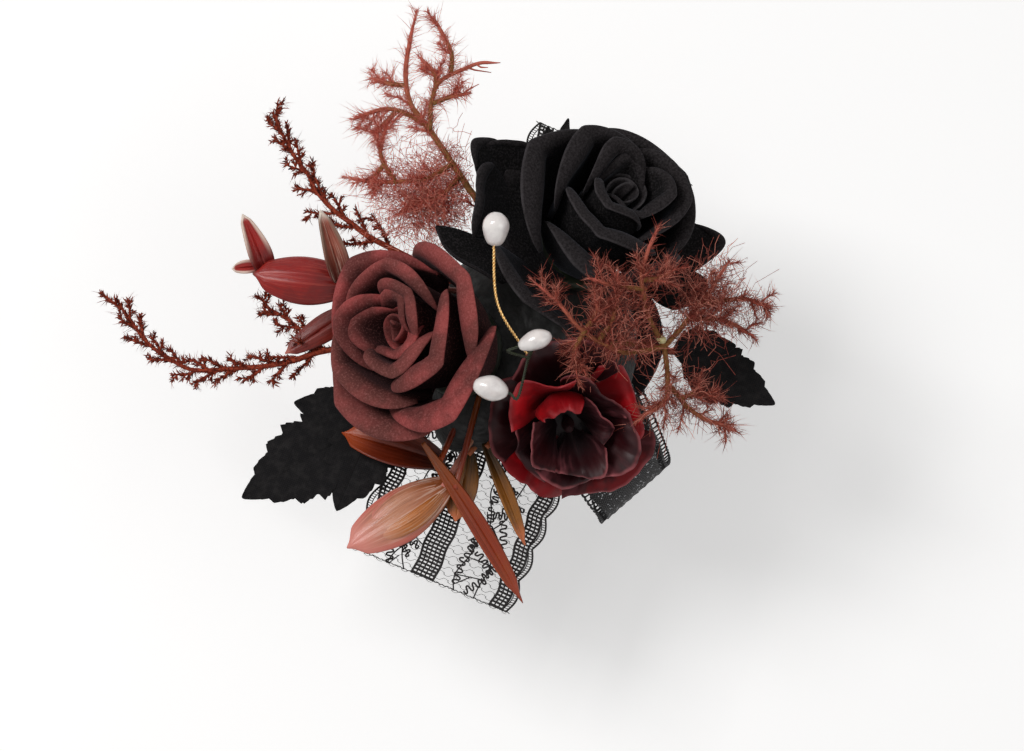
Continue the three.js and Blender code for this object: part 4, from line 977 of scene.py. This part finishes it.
for number, (pod_name, row) in enumerate(PODS.items()):
    root, stem, (length, width, cup, arch, widest), lift, turn, foot, bow, looks, slot = row
    place = rooted(*root)
    at = blade_matrix(place, stem, length, arch, lift, turn, foot, bow)
    body = Build()
    add_tube(body, smooth_route([(0, 0, 0), (stem * 0.6, 0, 0), (stem, 0, 0)], 20), 0.8, 10, matrix=place)
    blade = pod_surface(length, width, cup, arch, widest, bow)
    add_sheet(body, blade, 28, 48, POD_THICKNESS, tone=number / 9, matrix=at)
    if pod_name in BUDS:
        # A closed bud: a second valve on the underside
        under = pod_surface(length * 0.97, width * 0.92, -cup * 0.6, arch, widest, bow, 0.0, cup * 1.45)
        add_sheet(body, under, 28, 48, POD_THICKNESS, look=1, tone=0.3 + number / 9, matrix=at)
    if pod_name == "pod_low_pink":
        # Two slim valves that lap over its shoulders
        for side in (-1, 1):
            bulge = (side * width * 0.2, 0.1, 0.55, 0.25)
            lap = pod_surface(length * 0.86, width * 0.42, cup * 0.5, arch, widest, *bulge)
            add_sheet(body, lap, 18, 40, 0.5, look=1 + side, tone=0.6 + side * 0.2, matrix=at)
    if pod_name == "pod_left_spike_far":
        small, small_arch = 8, 0.4
        spot = blade_matrix(place, stem + 1.5, small, small_arch, -8, 18, 0.1, 0)
        add_sheet(body, pod_surface(small, 3.4, 1.0, small_arch), 14, 20, 0.6, tone=0.9, matrix=spot)
    # A pod with one look has it on every blade
    add_piece(body, pod_name + "_formed", " ".join((looks.split() * 3)[:3]), slot, pod_name)


# Heather and smoke sprigs

# root; length; limbs, each a route in thousandths of the length in the root's frame
SPRIGS = {
    "heather_twig_upper": (
        (118, 0.66, 0.45, 122, 3),
        71,
        ["0 0 0, 130 0 0, 320 30 30, 450 45 35, 560 40 35, 660 20 30, 750 -20 20, 840 -50 15, 980 -130 0"],
    ),
    "heather_twig_lower": (
        (134, 0.84, 0.42, 179, 0.3),
        88,
        [
            "0 0 0, 100 0 0, 370 -10 15, 500 -22 20, 630 -56 20, 750 -110 0, 830 -225 -5, 870 -380 -10",
            "330 0 20, 380 -20 20, 410 -80 10, 430 -130 -10, 480 -200 -20",
        ],
    ),
    "smoke_sprig_upper": (
        (92, 0.6, 0.55, 92, 6),
        72,
        [
            "0 0 0, 120 0 30, 270 -30 100, 350 -20 120, 460 0 130, 590 20 130, 690 40 140, 780 20 130, "
            "900 -50 120, 990 -120 110",
            "580 20 140, 680 -40 150, 720 -90 160, 720 -220 160, 690 -300 170",
            "730 -130 160, 810 -160 150, 940 -160 130",
            "700 -60 150, 760 -70 160, 830 -60 150",
            "660 -30 150, 650 -100 160, 640 -160 160",
            "610 30 130, 670 70 130, 720 130 110, 740 250 90",
            "690 100 120, 680 140 110, 660 200 100",
            "760 30 130, 800 90 130, 830 120 120",
            "440 0 140, 430 100 120, 460 190 110, 510 280 90, 560 350 70",
            "460 200 110, 560 210 110, 620 180 120, 680 130 110",
            "540 210 110, 520 260 100, 480 290 90",
            "390 -10 130, 360 80 120, 370 170 100, 370 250 90",
        ],
    ),
    "smoke_sprig_right": (
        (-30, 0.62, 0.7, -29, 49),
        46,
        [
            "0 0 0, 200 0 0, 420 -30 -10, 540 -50 0",
            "540 -50 0, 460 -120 220, 390 -50 440, 310 90 590, 220 200 700",
            "390 -50 440, 470 50 440, 490 130 480",
            "430 -80 360, 560 90 380, 580 270 420",
            "390 -50 440, 330 -170 440, 340 -230 400",
            "540 -50 0, 580 100 180, 650 290 300, 700 530 280",
            "620 200 240, 550 190 420, 480 210 540",
            "640 240 280, 710 260 230, 740 320 160",
            "540 -50 0, 650 110 -60, 710 220 -90, 780 430 -180",
            "700 190 -80, 820 240 -260, 910 220 -390",
            "650 110 -60, 740 120 -230, 810 70 -380",
            "540 -50 0, 530 -190 -60, 510 -310 -90, 400 -400 -40, 310 -480 0",
            "520 -240 -80, 570 -360 -240, 690 -430 -470",
            "550 -300 -140, 600 -250 -240, 640 -280 -310",
        ],
    ),
}


def limb_points(limb, length):
    return np.array([[int(word) for word in point.split()] for point in limb.split(",")]) / 1000 * length


def bent(line, amount, seed):
    """The same line with slight natural kinks."""
    run = np.linspace(0, 1, len(line))
    return line + noise3(line, 6.0, seed) * (amount * np.minimum(1, run * 3))[:, None]


def random_points(lines, per_mm, rng):
    """Places and tangents spread along the lines, (n,3) each, with the share along its line."""
    places, tangents, shares = [], [], []
    for line in lines:
        steps = np.diff(line, axis=0)
        count = int(np.linalg.norm(steps, axis=1).sum() * per_mm)
        share = rng.uniform(0, 1, count)
        at = share * (len(line) - 1)
        i = np.minimum(len(line) - 2, at.astype(int))
        places.append(line[i] + steps[i] * (at - i)[:, None])
        tangents.append(unit(steps[i]))
        shares.append(share)
    return np.concatenate(places), np.concatenate(tangents), np.concatenate(shares)


def add_threads(body, routes, radii, sides, tone, place):
    """Many tapered threads at once: routes (n, k, 3), radii (k,)."""
    n, k = routes.shape[:2]
    tangents = unit(np.gradient(routes, axis=1))
    side = unit(np.cross(tangents, np.roll(tangents[:, :1], 1, axis=2) + np.array([0.3, 0.2, 0.1])))
    other = np.cross(tangents, side)
    turn = TURN * np.arange(sides) / sides
    ring = side[:, :, None] * np.cos(turn)[:, None] + other[:, :, None] * np.sin(turn)[:, None]
    points = routes[:, :, None] + ring * np.asarray(radii)[None, :, None, None]
    index = np.arange(n * k * sides).reshape(n, k, sides)
    along = np.tile(np.repeat(np.linspace(0, 1, k), sides), n)
    body.add(points, [ring_quads(index)], 0, 0.0, along, np.repeat(tone, k * sides), place)


RIGHT = np.array([0.9205, -0.3907, 0.0])  # the camera's right in the part's frame
PETAL_EDGE = -19.0  # how far right the velvet guard petal's left edge is, in millimetres


def beside_petal(routes, place):
    """Which threads stay on the outer side of the velvet guard petal's edge."""
    return (carried(routes, place) @ RIGHT).max(axis=1) < PETAL_EDGE


def outward(tangents, rng, forward):
    side = unit(np.cross(tangents, rng.normal(size=tangents.shape)))
    heading = tangents * forward[:, None] + side
    return heading / np.linalg.norm(heading, axis=1, keepdims=True)


def bowed(starts, size, heading, bow, t):
    """Threads that leave their starts along the headings and bow away: (n, k, 3)."""
    way = heading[:, None] * t[:, None] + bow[:, None] * t[:, None] ** 2
    return starts[:, None] + size[:, None, None] * way


SHOOT_STEP = 3.1  # from one shoot of a heather twig to the next


def heather(name, root, length, limbs, seed):
    rng = np.random.default_rng(seed)
    place = rooted(*root)
    body = Build()
    carriers = []
    for number, limb in enumerate(limbs):
        main = number == 0
        line = bent(smooth_route(limb_points(limb, length), 60), 0.5, seed)
        add_tube(body, line, np.linspace(1.0 if main else 0.6, 0.35, 61), 8, matrix=place)
        carriers.append(line[22 if main else 4 :])
        count = int(lengths(line)[-1] * (0.66 if main else 1) / SHOOT_STEP)
        for k in range(count):
            share = mix(0.36 if main else 0.2, 0.97, k / max(1, count - 1))
            i = min(59, int(share * 60))
            tangent = line[i + 1] - line[i]
            tangent /= np.linalg.norm(tangent)
            rise = np.array([0, 0, rng.uniform(-0.5, 0.6)])
            out = np.cross((0, 0, 1), tangent) * (1 if k % 2 else -1) + rise
            reach = rng.uniform(6.5, 9.5) * (1.12 - 0.6 * share) * (1 if main else 0.7)
            heading = tangent * rng.uniform(0.9, 1.4) + out * rng.uniform(0.6, 1.0)
            heading /= np.linalg.norm(heading)
            t = np.linspace(0, 1, 12)[:, None]
            shoot = bent(line[i] + heading * reach * t + tangent * 1.4 * t**2, 0.5, seed + k)
            add_tube(body, shoot, np.linspace(0.42, 0.2, 12), 6, matrix=place)
            carriers.append(shoot)
            for at in (0.35, 0.62, 0.85):
                way = outward(heading[None], rng, np.array([0.9]))[0]
                small = shoot[int(at * 11)] + way * rng.uniform(1.4, 2.8) * np.linspace(0, 1, 5)[:, None]
                add_tube(body, small, np.linspace(0.24, 0.12, 5), 5, tone=0.35, matrix=place)
                carriers.append(small)
    # Scales, and a few fine hairs between them
    t = np.linspace(0, 1, 4)
    for per_mm, low, high, thick, forward in ((7.0, 0.8, 1.7, 0.17, 1.1), (3.0, 1.2, 3.0, 0.05, 0.5)):
        starts, tangents, _ = random_points(carriers, per_mm, rng)
        heading = outward(tangents, rng, rng.uniform(0.6, 1.5, len(starts)) * forward)
        size = rng.uniform(low, high, len(starts))
        routes = bowed(starts, size, heading, rng.normal(size=starts.shape) * 0.16, t)
        tones = rng.uniform(0.0, 1.0, len(starts))
        add_threads(body, routes, thick * np.array([0.8, 1.0, 0.8, 0.12]), 4, tones, place)
    add_piece(body, name + "_scaled", "heather", "heather", name)


def smoke(name, root, length, limbs, seed, look, shoots, plume, fine, tangles):
    rng = np.random.default_rng(seed)
    place = rooted(*root)
    body = Build()
    carriers = []
    for k, limb in enumerate(limbs):
        line = smooth_route(limb_points(limb, length), 40 if k else 80)
        line = bent(line, 0.5 if k else 0.3, seed + 11 * k)
        share = np.linspace(0, 1, len(line))
        thick = mix(0.68, 0.42, share) if k else mix(1.05, 0.5, share)
        thick = thick * (1 - 0.75 * np.clip((share - 0.9) / 0.1, 0, 1))
        shade = mix(0.35 if k else 0.0, 1.0, share)
        add_tube(body, line, thick, 9, look=1, tone=np.repeat(shade, 9), matrix=place)
        carriers.append(line[int(len(line) * (0.05 if k else 0.35)) :])
        for _ in range(shoots if k else 5):
            i = int(rng.integers(len(line) // 4, len(line) - 4))
            tangent = line[i + 1] - line[i]
            tangent /= np.linalg.norm(tangent)
            heading = outward(tangent[None], rng, np.array([0.9]))[0] * np.array([1, 1, 0.6])
            small = line[i] + heading * rng.uniform(3, 7.5) * np.linspace(0, 1, 7)[:, None]
            small = bent(small, 1.0, seed + k + i)
            add_tube(body, small, np.linspace(0.3, 0.1, 7), 5, look=1, tone=0.9, matrix=place)
            carriers.append(small)

    def clear(routes):
        """Which threads are kept: on the upper sprig, only those that leave the velvet petal free."""
        return beside_petal(routes, place) if name == "smoke_sprig_upper" else slice(None)

    # Short hairs lie forward along each limb as a plume; a few long fine ones stand off it
    plumes = ((plume, 1.2, 3.0, 0.07, 0.9, 0.16, 3), (fine, 2.4, 5.8, 0.085, 0.35, 0.26, 5))
    for per_mm, low, high, thick, forward, spread, rings in plumes:
        t = np.linspace(0, 1, rings)
        starts, tangents, shares = random_points(carriers, per_mm, rng)
        heading = outward(tangents, rng, forward * rng.uniform(0.6, 1.5, len(starts)) + shares * forward)
        size = rng.uniform(low, high, len(starts)) * (1.15 - 0.5 * shares)
        routes = bowed(starts, size, heading, rng.normal(size=starts.shape) * spread, t)
        tones = rng.uniform(0, 1, len(starts))
        kept = clear(routes)
        radii = thick * np.interp(t, [0, 0.5, 1], [1, 0.85, 0.2])
        add_threads(body, routes[kept], radii, 3, tones[kept], place)
    t = np.linspace(0, 1, 5)
    for centre, size, count in tangles:
        # Loose curly hairs
        starts = np.array(centre) * length + rng.normal(size=(count, 3)) * np.array(size)
        heading = rng.normal(size=(count, 3)) * np.array([1, 1, 0.4])
        heading /= np.linalg.norm(heading, axis=1, keepdims=True)
        bow = rng.normal(size=(count, 3)) * 0.8
        span = rng.uniform(2.5, 6.0, count)
        curl = 0.18 * np.roll(bow, 1, 1)[:, None] * np.sin(9 * t)[:, None]
        routes = bowed(starts, span, heading, bow, t) + span[:, None, None] * curl
        routes = routes[clear(routes)]
        add_threads(body, routes, 0.07 * np.ones(5), 3, rng.uniform(0, 1, len(routes)), place)
    if name == "smoke_sprig_right":
        seed_place = place @ shifted(0.55 * length, -0.02 * length, 0.03 * length)
        seed_profile = rounded_profile([(0, -1.3), (0.9, -0.9), (1.1, 0.6), (0, 1.6)], 0.6)
        add_turned(body, seed_profile, 20, look=2, matrix=seed_place, lump=0.15, seed=3)
    add_piece(body, name + "_haired", look + " stem seed", "smoke", name)


# look; side shoots per limb; plume hairs and fine hairs per mm; tangles, each a centre, a spread and a count
SMOKE = {
    "smoke_sprig_upper": ("smoke", 3, 13, 5.5, [((0.37, 0.1, 0.1), (5, 6.5, 1.6), 1500)]),
    "smoke_sprig_right": (
        "smoke_deep", 8, 10, 3.2,
        [
            ((0.72, 0.2, -0.1), (4, 4, 3), 600),
            ((0.5, 0.0, 0.3), (4, 4, 3), 300),
            ((0.55, -0.3, -0.12), (3, 3, 2.5), 150),
        ],
    ),
}
for number, (sprig_name, row) in enumerate(SPRIGS.items()):
    if sprig_name in SMOKE:
        smoke(sprig_name, *row, 60 + number, *SMOKE[sprig_name])
    else:
        heather(sprig_name, *row, 50 + number)


# Pearl spray

# centre, length, width, and the way from the wire's end to the pearl's middle
PEARLS = {
    "pearl_high": ((-4.5, 23.7, 50), 8.3, 6.3, (0.45, 0.8, 0.4)),
    "pearl_right": ((-6.1, -4.2, 44.5), 8.6, 4.6, (0.99, -0.07, 0.12)),
    "pearl_left": ((-20.5, -10.8, 44.5), 8.4, 5.8, (-0.79, 0.61, 0.12)),
}
FORK = np.array([-8.6, -6, 37])
FOOT = np.array([-5.5, -2.5, 9.6])
BEND = np.array([-10.9, 7.4, 44.8])
STEM_RADIUS, ARM_RADIUS = 0.55, 0.4
TWIST = 1.7  # the length of one turn of the strands
BORE = 1.6  # how far a wire goes into its pearl


def twisted(body, points, radius, steps):
    """Two strands wound round each other along the route."""
    line = smooth_route(points, steps)
    rings = tube_rings(line, np.full(len(line), radius * 0.5), 1)
    tangents = unit(np.gradient(line, axis=0), 0)
    first = unit(rings[:, 0] - line, 0)
    second = np.cross(tangents, first)
    for k in (0, 1):
        turn = lengths(line) / TWIST * TURN + k * math.pi
        strand = line + radius * 0.48 * (first * np.cos(turn)[:, None] + second * np.sin(turn)[:, None])
        add_tube(body, strand, radius * 0.55, 7)


def arm_end(name):
    """The pearl's drilled end, and the way on to its middle."""
    centre, length, _, axis = PEARLS[name]
    axis = unit(np.array(axis), 0)
    return np.array(centre) + axis * (BORE - GAP - length / 2), axis


body = Build()
twisted(body, [FOOT, (FOOT[0], FOOT[1], mix(FOOT[2], FORK[2], 0.75)), FORK], STEM_RADIUS, 130)
for pearl in ("pearl_right", "pearl_left"):
    end, axis = arm_end(pearl)
    twisted(body, [FORK, end - axis * 4 - np.array([0, 0, 1.2]), end - axis * 2, end], ARM_RADIUS, 70)
add_piece(body, "pearl_spray_stem_twisted", "taped_wire", "wire", "pearl_spray_stem")
body = Build()
end, axis = arm_end("pearl_high")
start = FORK + np.array([0, STEM_RADIUS + GAP, STEM_RADIUS + 2 * GAP])
twisted(body, [start, BEND, end - axis * 2, end], ARM_RADIUS, 170)
add_piece(body, "pearl_spray_arm_twisted", "wire", "wire", "pearl_spray_arm", body="pearl_arm")
for k, (pearl, (centre, length, width, axis)) in enumerate(PEARLS.items()):
    body = Build()
    turn = np.linspace(-math.pi / 2, math.pi / 2, 34)
    swell = 1 + 0.07 * np.sin(3.2 * turn + k)
    profile = np.stack([width / 2 * np.cos(turn) ** 0.85 * swell, length / 2 * np.sin(turn)], 1)
    add_turned(body, profile, 48, matrix=leaning(centre, axis), lump=0.2, seed=k)
    rides = "pearl_arm" if pearl == "pearl_high" else "corsage"
    add_piece(body, pearl + "_nacre", "pearl", "pearl", pearl, body=rides)


# Lace

LACE = {"length": 120, "width": 45, "angle": 44, "centre": (-7.5, -0.5), "bottom": 5.1}
SCALLOPS = 14
VINES = (-9.2, 9.2)
# middle, threads, and how much it follows the scallops
LADDERS = ((-18.3, 4, 1), (1.8, 6, 0.6), (18.3, 4, 1))
LADDER_STEP, RUNG_STEP = 1.15, 0.95
NET_THREAD, NET_COLUMN, NET_ROW = 0.11, 1.5, 0.85
EDGE_DEPTH = 1.1  # from the rim's thread to the one inside it
THREAD_HEIGHT = 0.12


def lace_piece():
    rng = np.random.default_rng(9)
    place = shifted(*LACE["centre"], LACE["bottom"] + 0.3) @ turned(LACE["angle"])
    body = Build()
    half, wide = LACE["length"] / 2, LACE["width"] / 2

    def thread(x, y, width, z=0.0):
        route = np.column_stack(np.broadcast_arrays(x, y, z))
        add_tube(body, route, width / 2, 4, matrix=place, squeeze=min(1.0, THREAD_HEIGHT / width * 2))

    edge = lambda x: wide - 0.5 - 1.4 * (1 - np.abs(np.sin(np.pi * SCALLOPS * (x / LACE["length"] + 0.5))))
    # Net of fine hexagons
    y = np.arange(-wide + 1.5, wide - 1.4, NET_ROW)
    for i, x in enumerate(np.arange(-half, half, NET_COLUMN)):
        zig = x + 0.38 * np.where(np.arange(len(y)) % 4 < 2, 1, -1) * (1 if i % 2 else -1)
        thread(zig, y, NET_THREAD)
        for j in range(1 + 2 * (i % 2), len(y) - 1, 4):
            thread((zig[j] + 0.05, zig[j] + 0.75), y[j] + 0.4, NET_THREAD)
    # Ladder bands
    xs = np.linspace(-half, half, 241)
    for centre, count, follow in LADDERS:
        spread = LADDER_STEP * (count - 1) / 2
        wave = lambda x: 0.35 * np.cos(2 * np.pi * SCALLOPS * x / LACE["length"]) * follow
        for k in range(count):
            offset = centre - spread + LADDER_STEP * k
            thread(xs, offset + wave(xs), 0.62 if k in (0, count - 1) else 0.4, 0.02)
        for x in np.arange(-half + 0.4, half, RUNG_STEP):
            rung = (centre - spread + wave(x), centre + spread + wave(x))
            thread((x, x + 0.12), rung, 0.56, -0.02)
    # Scalloped rims
    xs = np.linspace(-half, half, 561)
    for sign in (-1, 1):
        thread(xs, sign * edge(xs), 0.5, 0.02)
        thread(xs, sign * (edge(xs) - EDGE_DEPTH), 0.26)
        for x in np.arange(-half + 0.3, half, 0.62):
            thread((x, x + 0.1), (sign * (edge(x) - EDGE_DEPTH), sign * edge(x)), 0.2)
    # Vines with meanders and small blooms between the bands
    for centre in VINES:
        phase = rng.uniform(0, 3)
        for sign in (-1, 1):
            thread(xs, centre + sign * 3.4 * np.sin(xs / 7.5 + phase) + 0.5 * np.sin(xs / 1.9), 0.36, 0.06)
        for x in np.arange(-half + 3, half - 2, 2.1):
            y = centre + rng.uniform(-4.5, 4.5)
            run = np.linspace(0, 1, 44)
            reach = rng.uniform(4.5, 7)
            steps = y + 0.85 * np.sign(np.sin(run * 22)) * np.abs(np.sin(run * 22)) ** 0.4
            meander = np.column_stack([x + reach * run - reach / 2, steps])
            middle = meander.mean(0)
            turn = rng.uniform(0, np.pi)
            rotation = np.array([[np.cos(turn), np.sin(turn)], [-np.sin(turn), np.cos(turn)]])
            spun = (meander - middle) @ rotation + middle
            spun = np.clip(spun, (-half, centre - 7), (half, centre + 7))
            thread(*spun.T, 0.46, 0.04)
            # A short stray stitch that ties it to the vine
            stitch = (np.clip(x + rng.uniform(-2, 2), -half, half), centre + rng.uniform(-5, 5))
            thread((spun[0, 0], stitch[0]), (spun[0, 1], stitch[1]), 0.3, 0.02)
    # Cut ends, where threads bunch
    ys = np.linspace(-wide + 0.8, wide - 0.8, 120)
    for x in (-half + 0.15, half - 0.15):
        thread(x + 0.12 * np.sin(ys * 5), ys, 0.24)
    return add_piece(body, "lace_strip_threads", "lace", "lace", "lace_strip")


lace_piece()


# Felt pad, disc and binding mound

FELT_THICKNESS, FELT_SEGMENTS = 1.6, 120


def felt_oval(name, length, width, centre, node):
    turn = TURN * np.arange(FELT_SEGMENTS) / FELT_SEGMENTS
    # how far out each ring lies, and its height as a share of the thickness
    rim = [(0.985, 0.06), (0.995, 0.22), (1.0, 0.5)]
    under = [(share, 0.0) for share in np.linspace(0.06, 0.97, 34)] + rim
    over = [(share, 1 - lift) for share, lift in under[-2::-1]]
    rings = []
    for share, lift in under + over:
        reach = share * (1 + 0.004 * np.sin(9 * turn) * share)
        height = np.full(FELT_SEGMENTS, lift * FELT_THICKNESS)
        rings.append(polar(reach, turn, height) * (length / 2, width / 2, 1))
    body = Build()
    add_rings(body, np.array(rings), (0, 0, 0), (0, 0, FELT_THICKNESS), matrix=shifted(*centre))
    piece = add_piece(body, name, "felt", "felt", node)


felt_oval("backing_pad_felt", 60, 46, (0, 0, 0), "backing_pad")
felt_oval("base_disc_felt", 48, 48, (-4, 3, 3.2), "base_disc")

# The mound is a dome, lumpy above its edge
radius, bottom = MOUND["radius"], MOUND["bottom"]
profile = [(0, 0), (radius, 0)]
for turn in math.pi / 2 * np.arange(23) / 23:
    profile.append((radius * math.cos(turn) ** 0.7, mix(MOUND["edge"], MOUND["height"], math.sin(turn))))
profile.append((0, MOUND["height"]))
body = Build()
add_turned(body, profile, 96, matrix=shifted(*MOUND["centre"], bottom))
points = body.points[0]
above = points[:, 2] > bottom + 0.4
points[above, 2] += 0.5 * value_noise(points[above], 5.0, 2) + 0.25 * value_noise(points[above], 1.8, 5) - 0.3
points[above, :2] += 0.4 * noise3(points[above], 4.0, 8)[:, :2]
# The tape runs out a little along the lower stems; the dark lobe also stands in for the shade between the
# marsala rose and the silk flower
LOBE_BEARING, LOBE_SPREAD, LOBE_REACH = -153, 17, 0.26
out = points[:, :2] - np.array(MOUND["centre"])
off = (np.degrees(np.arctan2(out[:, 1], out[:, 0])) - LOBE_BEARING) / LOBE_SPREAD
outer = smoothstep((np.linalg.norm(out, axis=1) - 12) / 12)
points[:, :2] += out * (LOBE_REACH * np.exp(-(off**2)) * outer)[:, None]
add_piece(body, "binding_mound_taped", "tape", "glue", "binding_mound")


# Wristband

BAND_WIDTH = 24
BAND_TOP = 2.4  # the height of the band's middle line under the pad
BAND_LOW = -38
BAND_X, BAND_SLANT = 4, 7  # where the band's middle line is along X, and how far it goes on as it goes down
BAND_SPLAY = 8
BAND_STATIONS = 420
CLOTH_HALF = 0.36  # half the cloth's thickness
INNER_CORD = 1.9  # how far in from the edge the inner cord runs


def band_loop():
    """The band's closed line (y, z): along the top, down both sides and round below."""
    flat, radius = 24.0, 5.0
    shoulder_y, shoulder_z = flat + radius, BAND_TOP - radius
    side_z, bottom = -15, -15.3
    foot_a, foot_b = shoulder_y, -shoulder_y - 4.5
    corner = np.linspace(0, math.pi / 2, 10)
    line = [(-(flat + radius * math.cos(t)), shoulder_z + radius * math.sin(t)) for t in corner]
    line += [(y, BAND_TOP) for y in np.linspace(-flat, flat, 26)[1:]]
    line += [(flat + radius * math.sin(t), shoulder_z + radius * math.cos(t)) for t in corner[1:]]
    line += [(shoulder_y, z) for z in np.linspace(shoulder_z, side_z, 9)[1:]]
    for v in np.linspace(0, 1, 60):
        turn = math.pi * v
        half = foot_a if math.cos(turn) > 0 else -foot_b
        bulge = 18 * max(0, v - 0.5) * math.sin(turn)
        line.append((half * math.cos(turn) - bulge, bottom - (bottom - BAND_LOW) * math.sin(turn)))
    line += [(mix(foot_b, -shoulder_y, t), mix(side_z, shoulder_z, t)) for t in np.linspace(0, 1, 9)[1:-1]]
    return np.array(line)


def column(values):
    return values[:, None]


def wristband():
    loop = band_loop()
    closed = np.vstack([loop, loop[:1]])
    run = lengths(closed)
    total = run[-1]
    at = np.arange(BAND_STATIONS) * total / BAND_STATIONS
    path = np.stack([np.interp(at, run, closed[:, k]) for k in (0, 1)], 1)
    for _ in range(3):
        path = (np.roll(path, 1, 0) + 2 * path + np.roll(path, -1, 0)) / 4
    y, z = path.T
    x = BAND_X + BAND_SLANT * (BAND_TOP - z) / (BAND_TOP - BAND_LOW)
    tangent = unit(np.roll(path, -1, 0) - np.roll(path, 1, 0), 0)
    normal_y, normal_z = -tangent[:, 1], tangent[:, 0]
    loose = np.exp(-(((z + 17) / 7) ** 2)) * (y < 0)
    half = BAND_WIDTH / 2 * (1 - 0.12 * loose)
    # On the side at low y, the edge at low x stands further out than the other
    splay = BAND_SPLAY * smoothstep((2 - z) / 18) * smoothstep((-6 - y) / 24)
    body = Build()

    def ribbon(section):
        """A closed ribbon: section (stations, sides, 2) gives how far across and out each point lies."""
        across, out = section[..., 0], section[..., 1]
        sides = section.shape[1]
        lean = column(splay) * (0.5 - across / BAND_WIDTH)
        deep = column(y) + column(normal_y) * out - lean
        places = (column(x) + across, deep, column(z) + column(normal_z) * out)
        index = np.arange(BAND_STATIONS * sides).reshape(BAND_STATIONS, sides)
        share = np.tile(across[0] / BAND_WIDTH + 0.5, (BAND_STATIONS, 1))
        quads = ring_quads(index, close=True)[:, ::-1]
        body.add(np.stack(places, -1), [quads], 0, share, np.repeat(at / total, sides))

    # The cloth between its two edges, with fine ribs
    lines = np.linspace(-1, 1, 25) * column(half - INNER_CORD)
    ribs = 0.12 * np.sin(lines * 2.6)
    upper, lower = (np.stack([lines, face * CLOTH_HALF + ribs], -1) for face in (1, -1))
    ribbon(np.concatenate([upper, lower[:, ::-1]], 1))
    # Two cords along each edge, the outer one waved, and rungs between them
    stations = np.arange(BAND_STATIONS)
    round_cord = np.linspace(0, TURN, 7)[:-1]
    for sign in (-1, 1):
        for inset, radius, swing in ((0.35, 0.33, 0.3), (INNER_CORD, 0.3, 0.0)):
            middle = sign * (half - inset + swing * np.abs(np.sin(math.pi * stations / 3)))
            across = column(middle) + radius * np.cos(round_cord)
            ribbon(np.stack(np.broadcast_arrays(across, radius * np.sin(round_cord)), -1))
        for k in range(0, BAND_STATIONS, 3):
            ends = []
            for across in (sign * (half[k] - INNER_CORD - 0.05), sign * (half[k] - 0.3)):
                ends.append((x[k] + across, y[k] - splay[k] * (0.5 - across / BAND_WIDTH), z[k]))
            add_tube(body, ends, 0.22, 5)
    piece = body.done("wristband_knit", "elastic")
    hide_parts("wristband_top", "wristband_side_a", "wristband_side_b", "wristband_bottom")
    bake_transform(piece)


wristband()


# Floor, light and camera

def link(name, data):
    item = bpy.data.objects.new(name, data)
    bpy.context.scene.collection.objects.link(item)
    return item


def floor_material():
    look = Look("floor_white", 0.9, Specular_IOR_Level=0.1)
    look.paint((236, 235, 234))
    connect(look.tree, look.times(seen_rays(look.tree), 0.36), look.shader["Emission Strength"])
    look.shader["Emission Color"].default_value = (1, 1, 1, 1)
    return look.done()


# The band's lower half reaches down to -58.5 mm when it is stretched
FLOOR_Z = -60 * MM
FLOOR_HALF = 3  # metres
mesh = bpy.data.meshes.new("floor")
corners = [(x * FLOOR_HALF, y * FLOOR_HALF, FLOOR_Z) for x, y in ((-1, -1), (1, -1), (1, 1), (-1, 1))]
mesh.from_pydata(corners, [], [(0, 1, 2, 3)])
mesh.materials.append(floor_material())
link("floor", mesh)

world = bpy.data.worlds.new("studio")
bpy.context.scene.world = world
world.use_nodes = True
tree = world.node_tree
background = tree.nodes["Background"].inputs
levels = {"Value": seen_rays(tree), "To Min": 0.3, "To Max": 1.0}
connect(tree, new_node(tree, "ShaderNodeMapRange", "Result", levels), background["Strength"])
background["Color"].default_value = (1, 1, 1, 1)


def lamp(name, place, target, size, power):
    light = bpy.data.lights.new(name, "AREA")
    light.shape = "SQUARE"
    light.size = size
    light.energy = power
    item = link(name, light)
    item.location = place
    item.rotation_euler = (Vector(target) - Vector(place)).to_track_quat("-Z", "Y").to_euler()


lamp("key", (-0.35, 0.35, 0.75), (0, 0, 0.02), 0.32, 4.1)
lamp("fill", (0.45, -0.45, 0.6), (0, 0, 0.02), 0.6, 1.2)

camera = link("camera", bpy.data.cameras.new("camera"))
camera.data.lens = 112.5
camera.data.sensor_width = 36
camera.data.clip_start = 0.01
# columns: the camera's right, up and back, and where it stands
camera.matrix_world = Matrix(
    [
        (RIGHT[0], 0.3822, -0.0812, -0.07694),
        (RIGHT[1], 0.9004, -0.1914, -0.15694),
        (RIGHT[2], 0.2079, 0.9781, 0.79578),
        (0, 0, 0, 1),
    ]
)
bpy.context.scene.camera = camera
bpy.context.scene.view_settings.view_transform = "Standard"
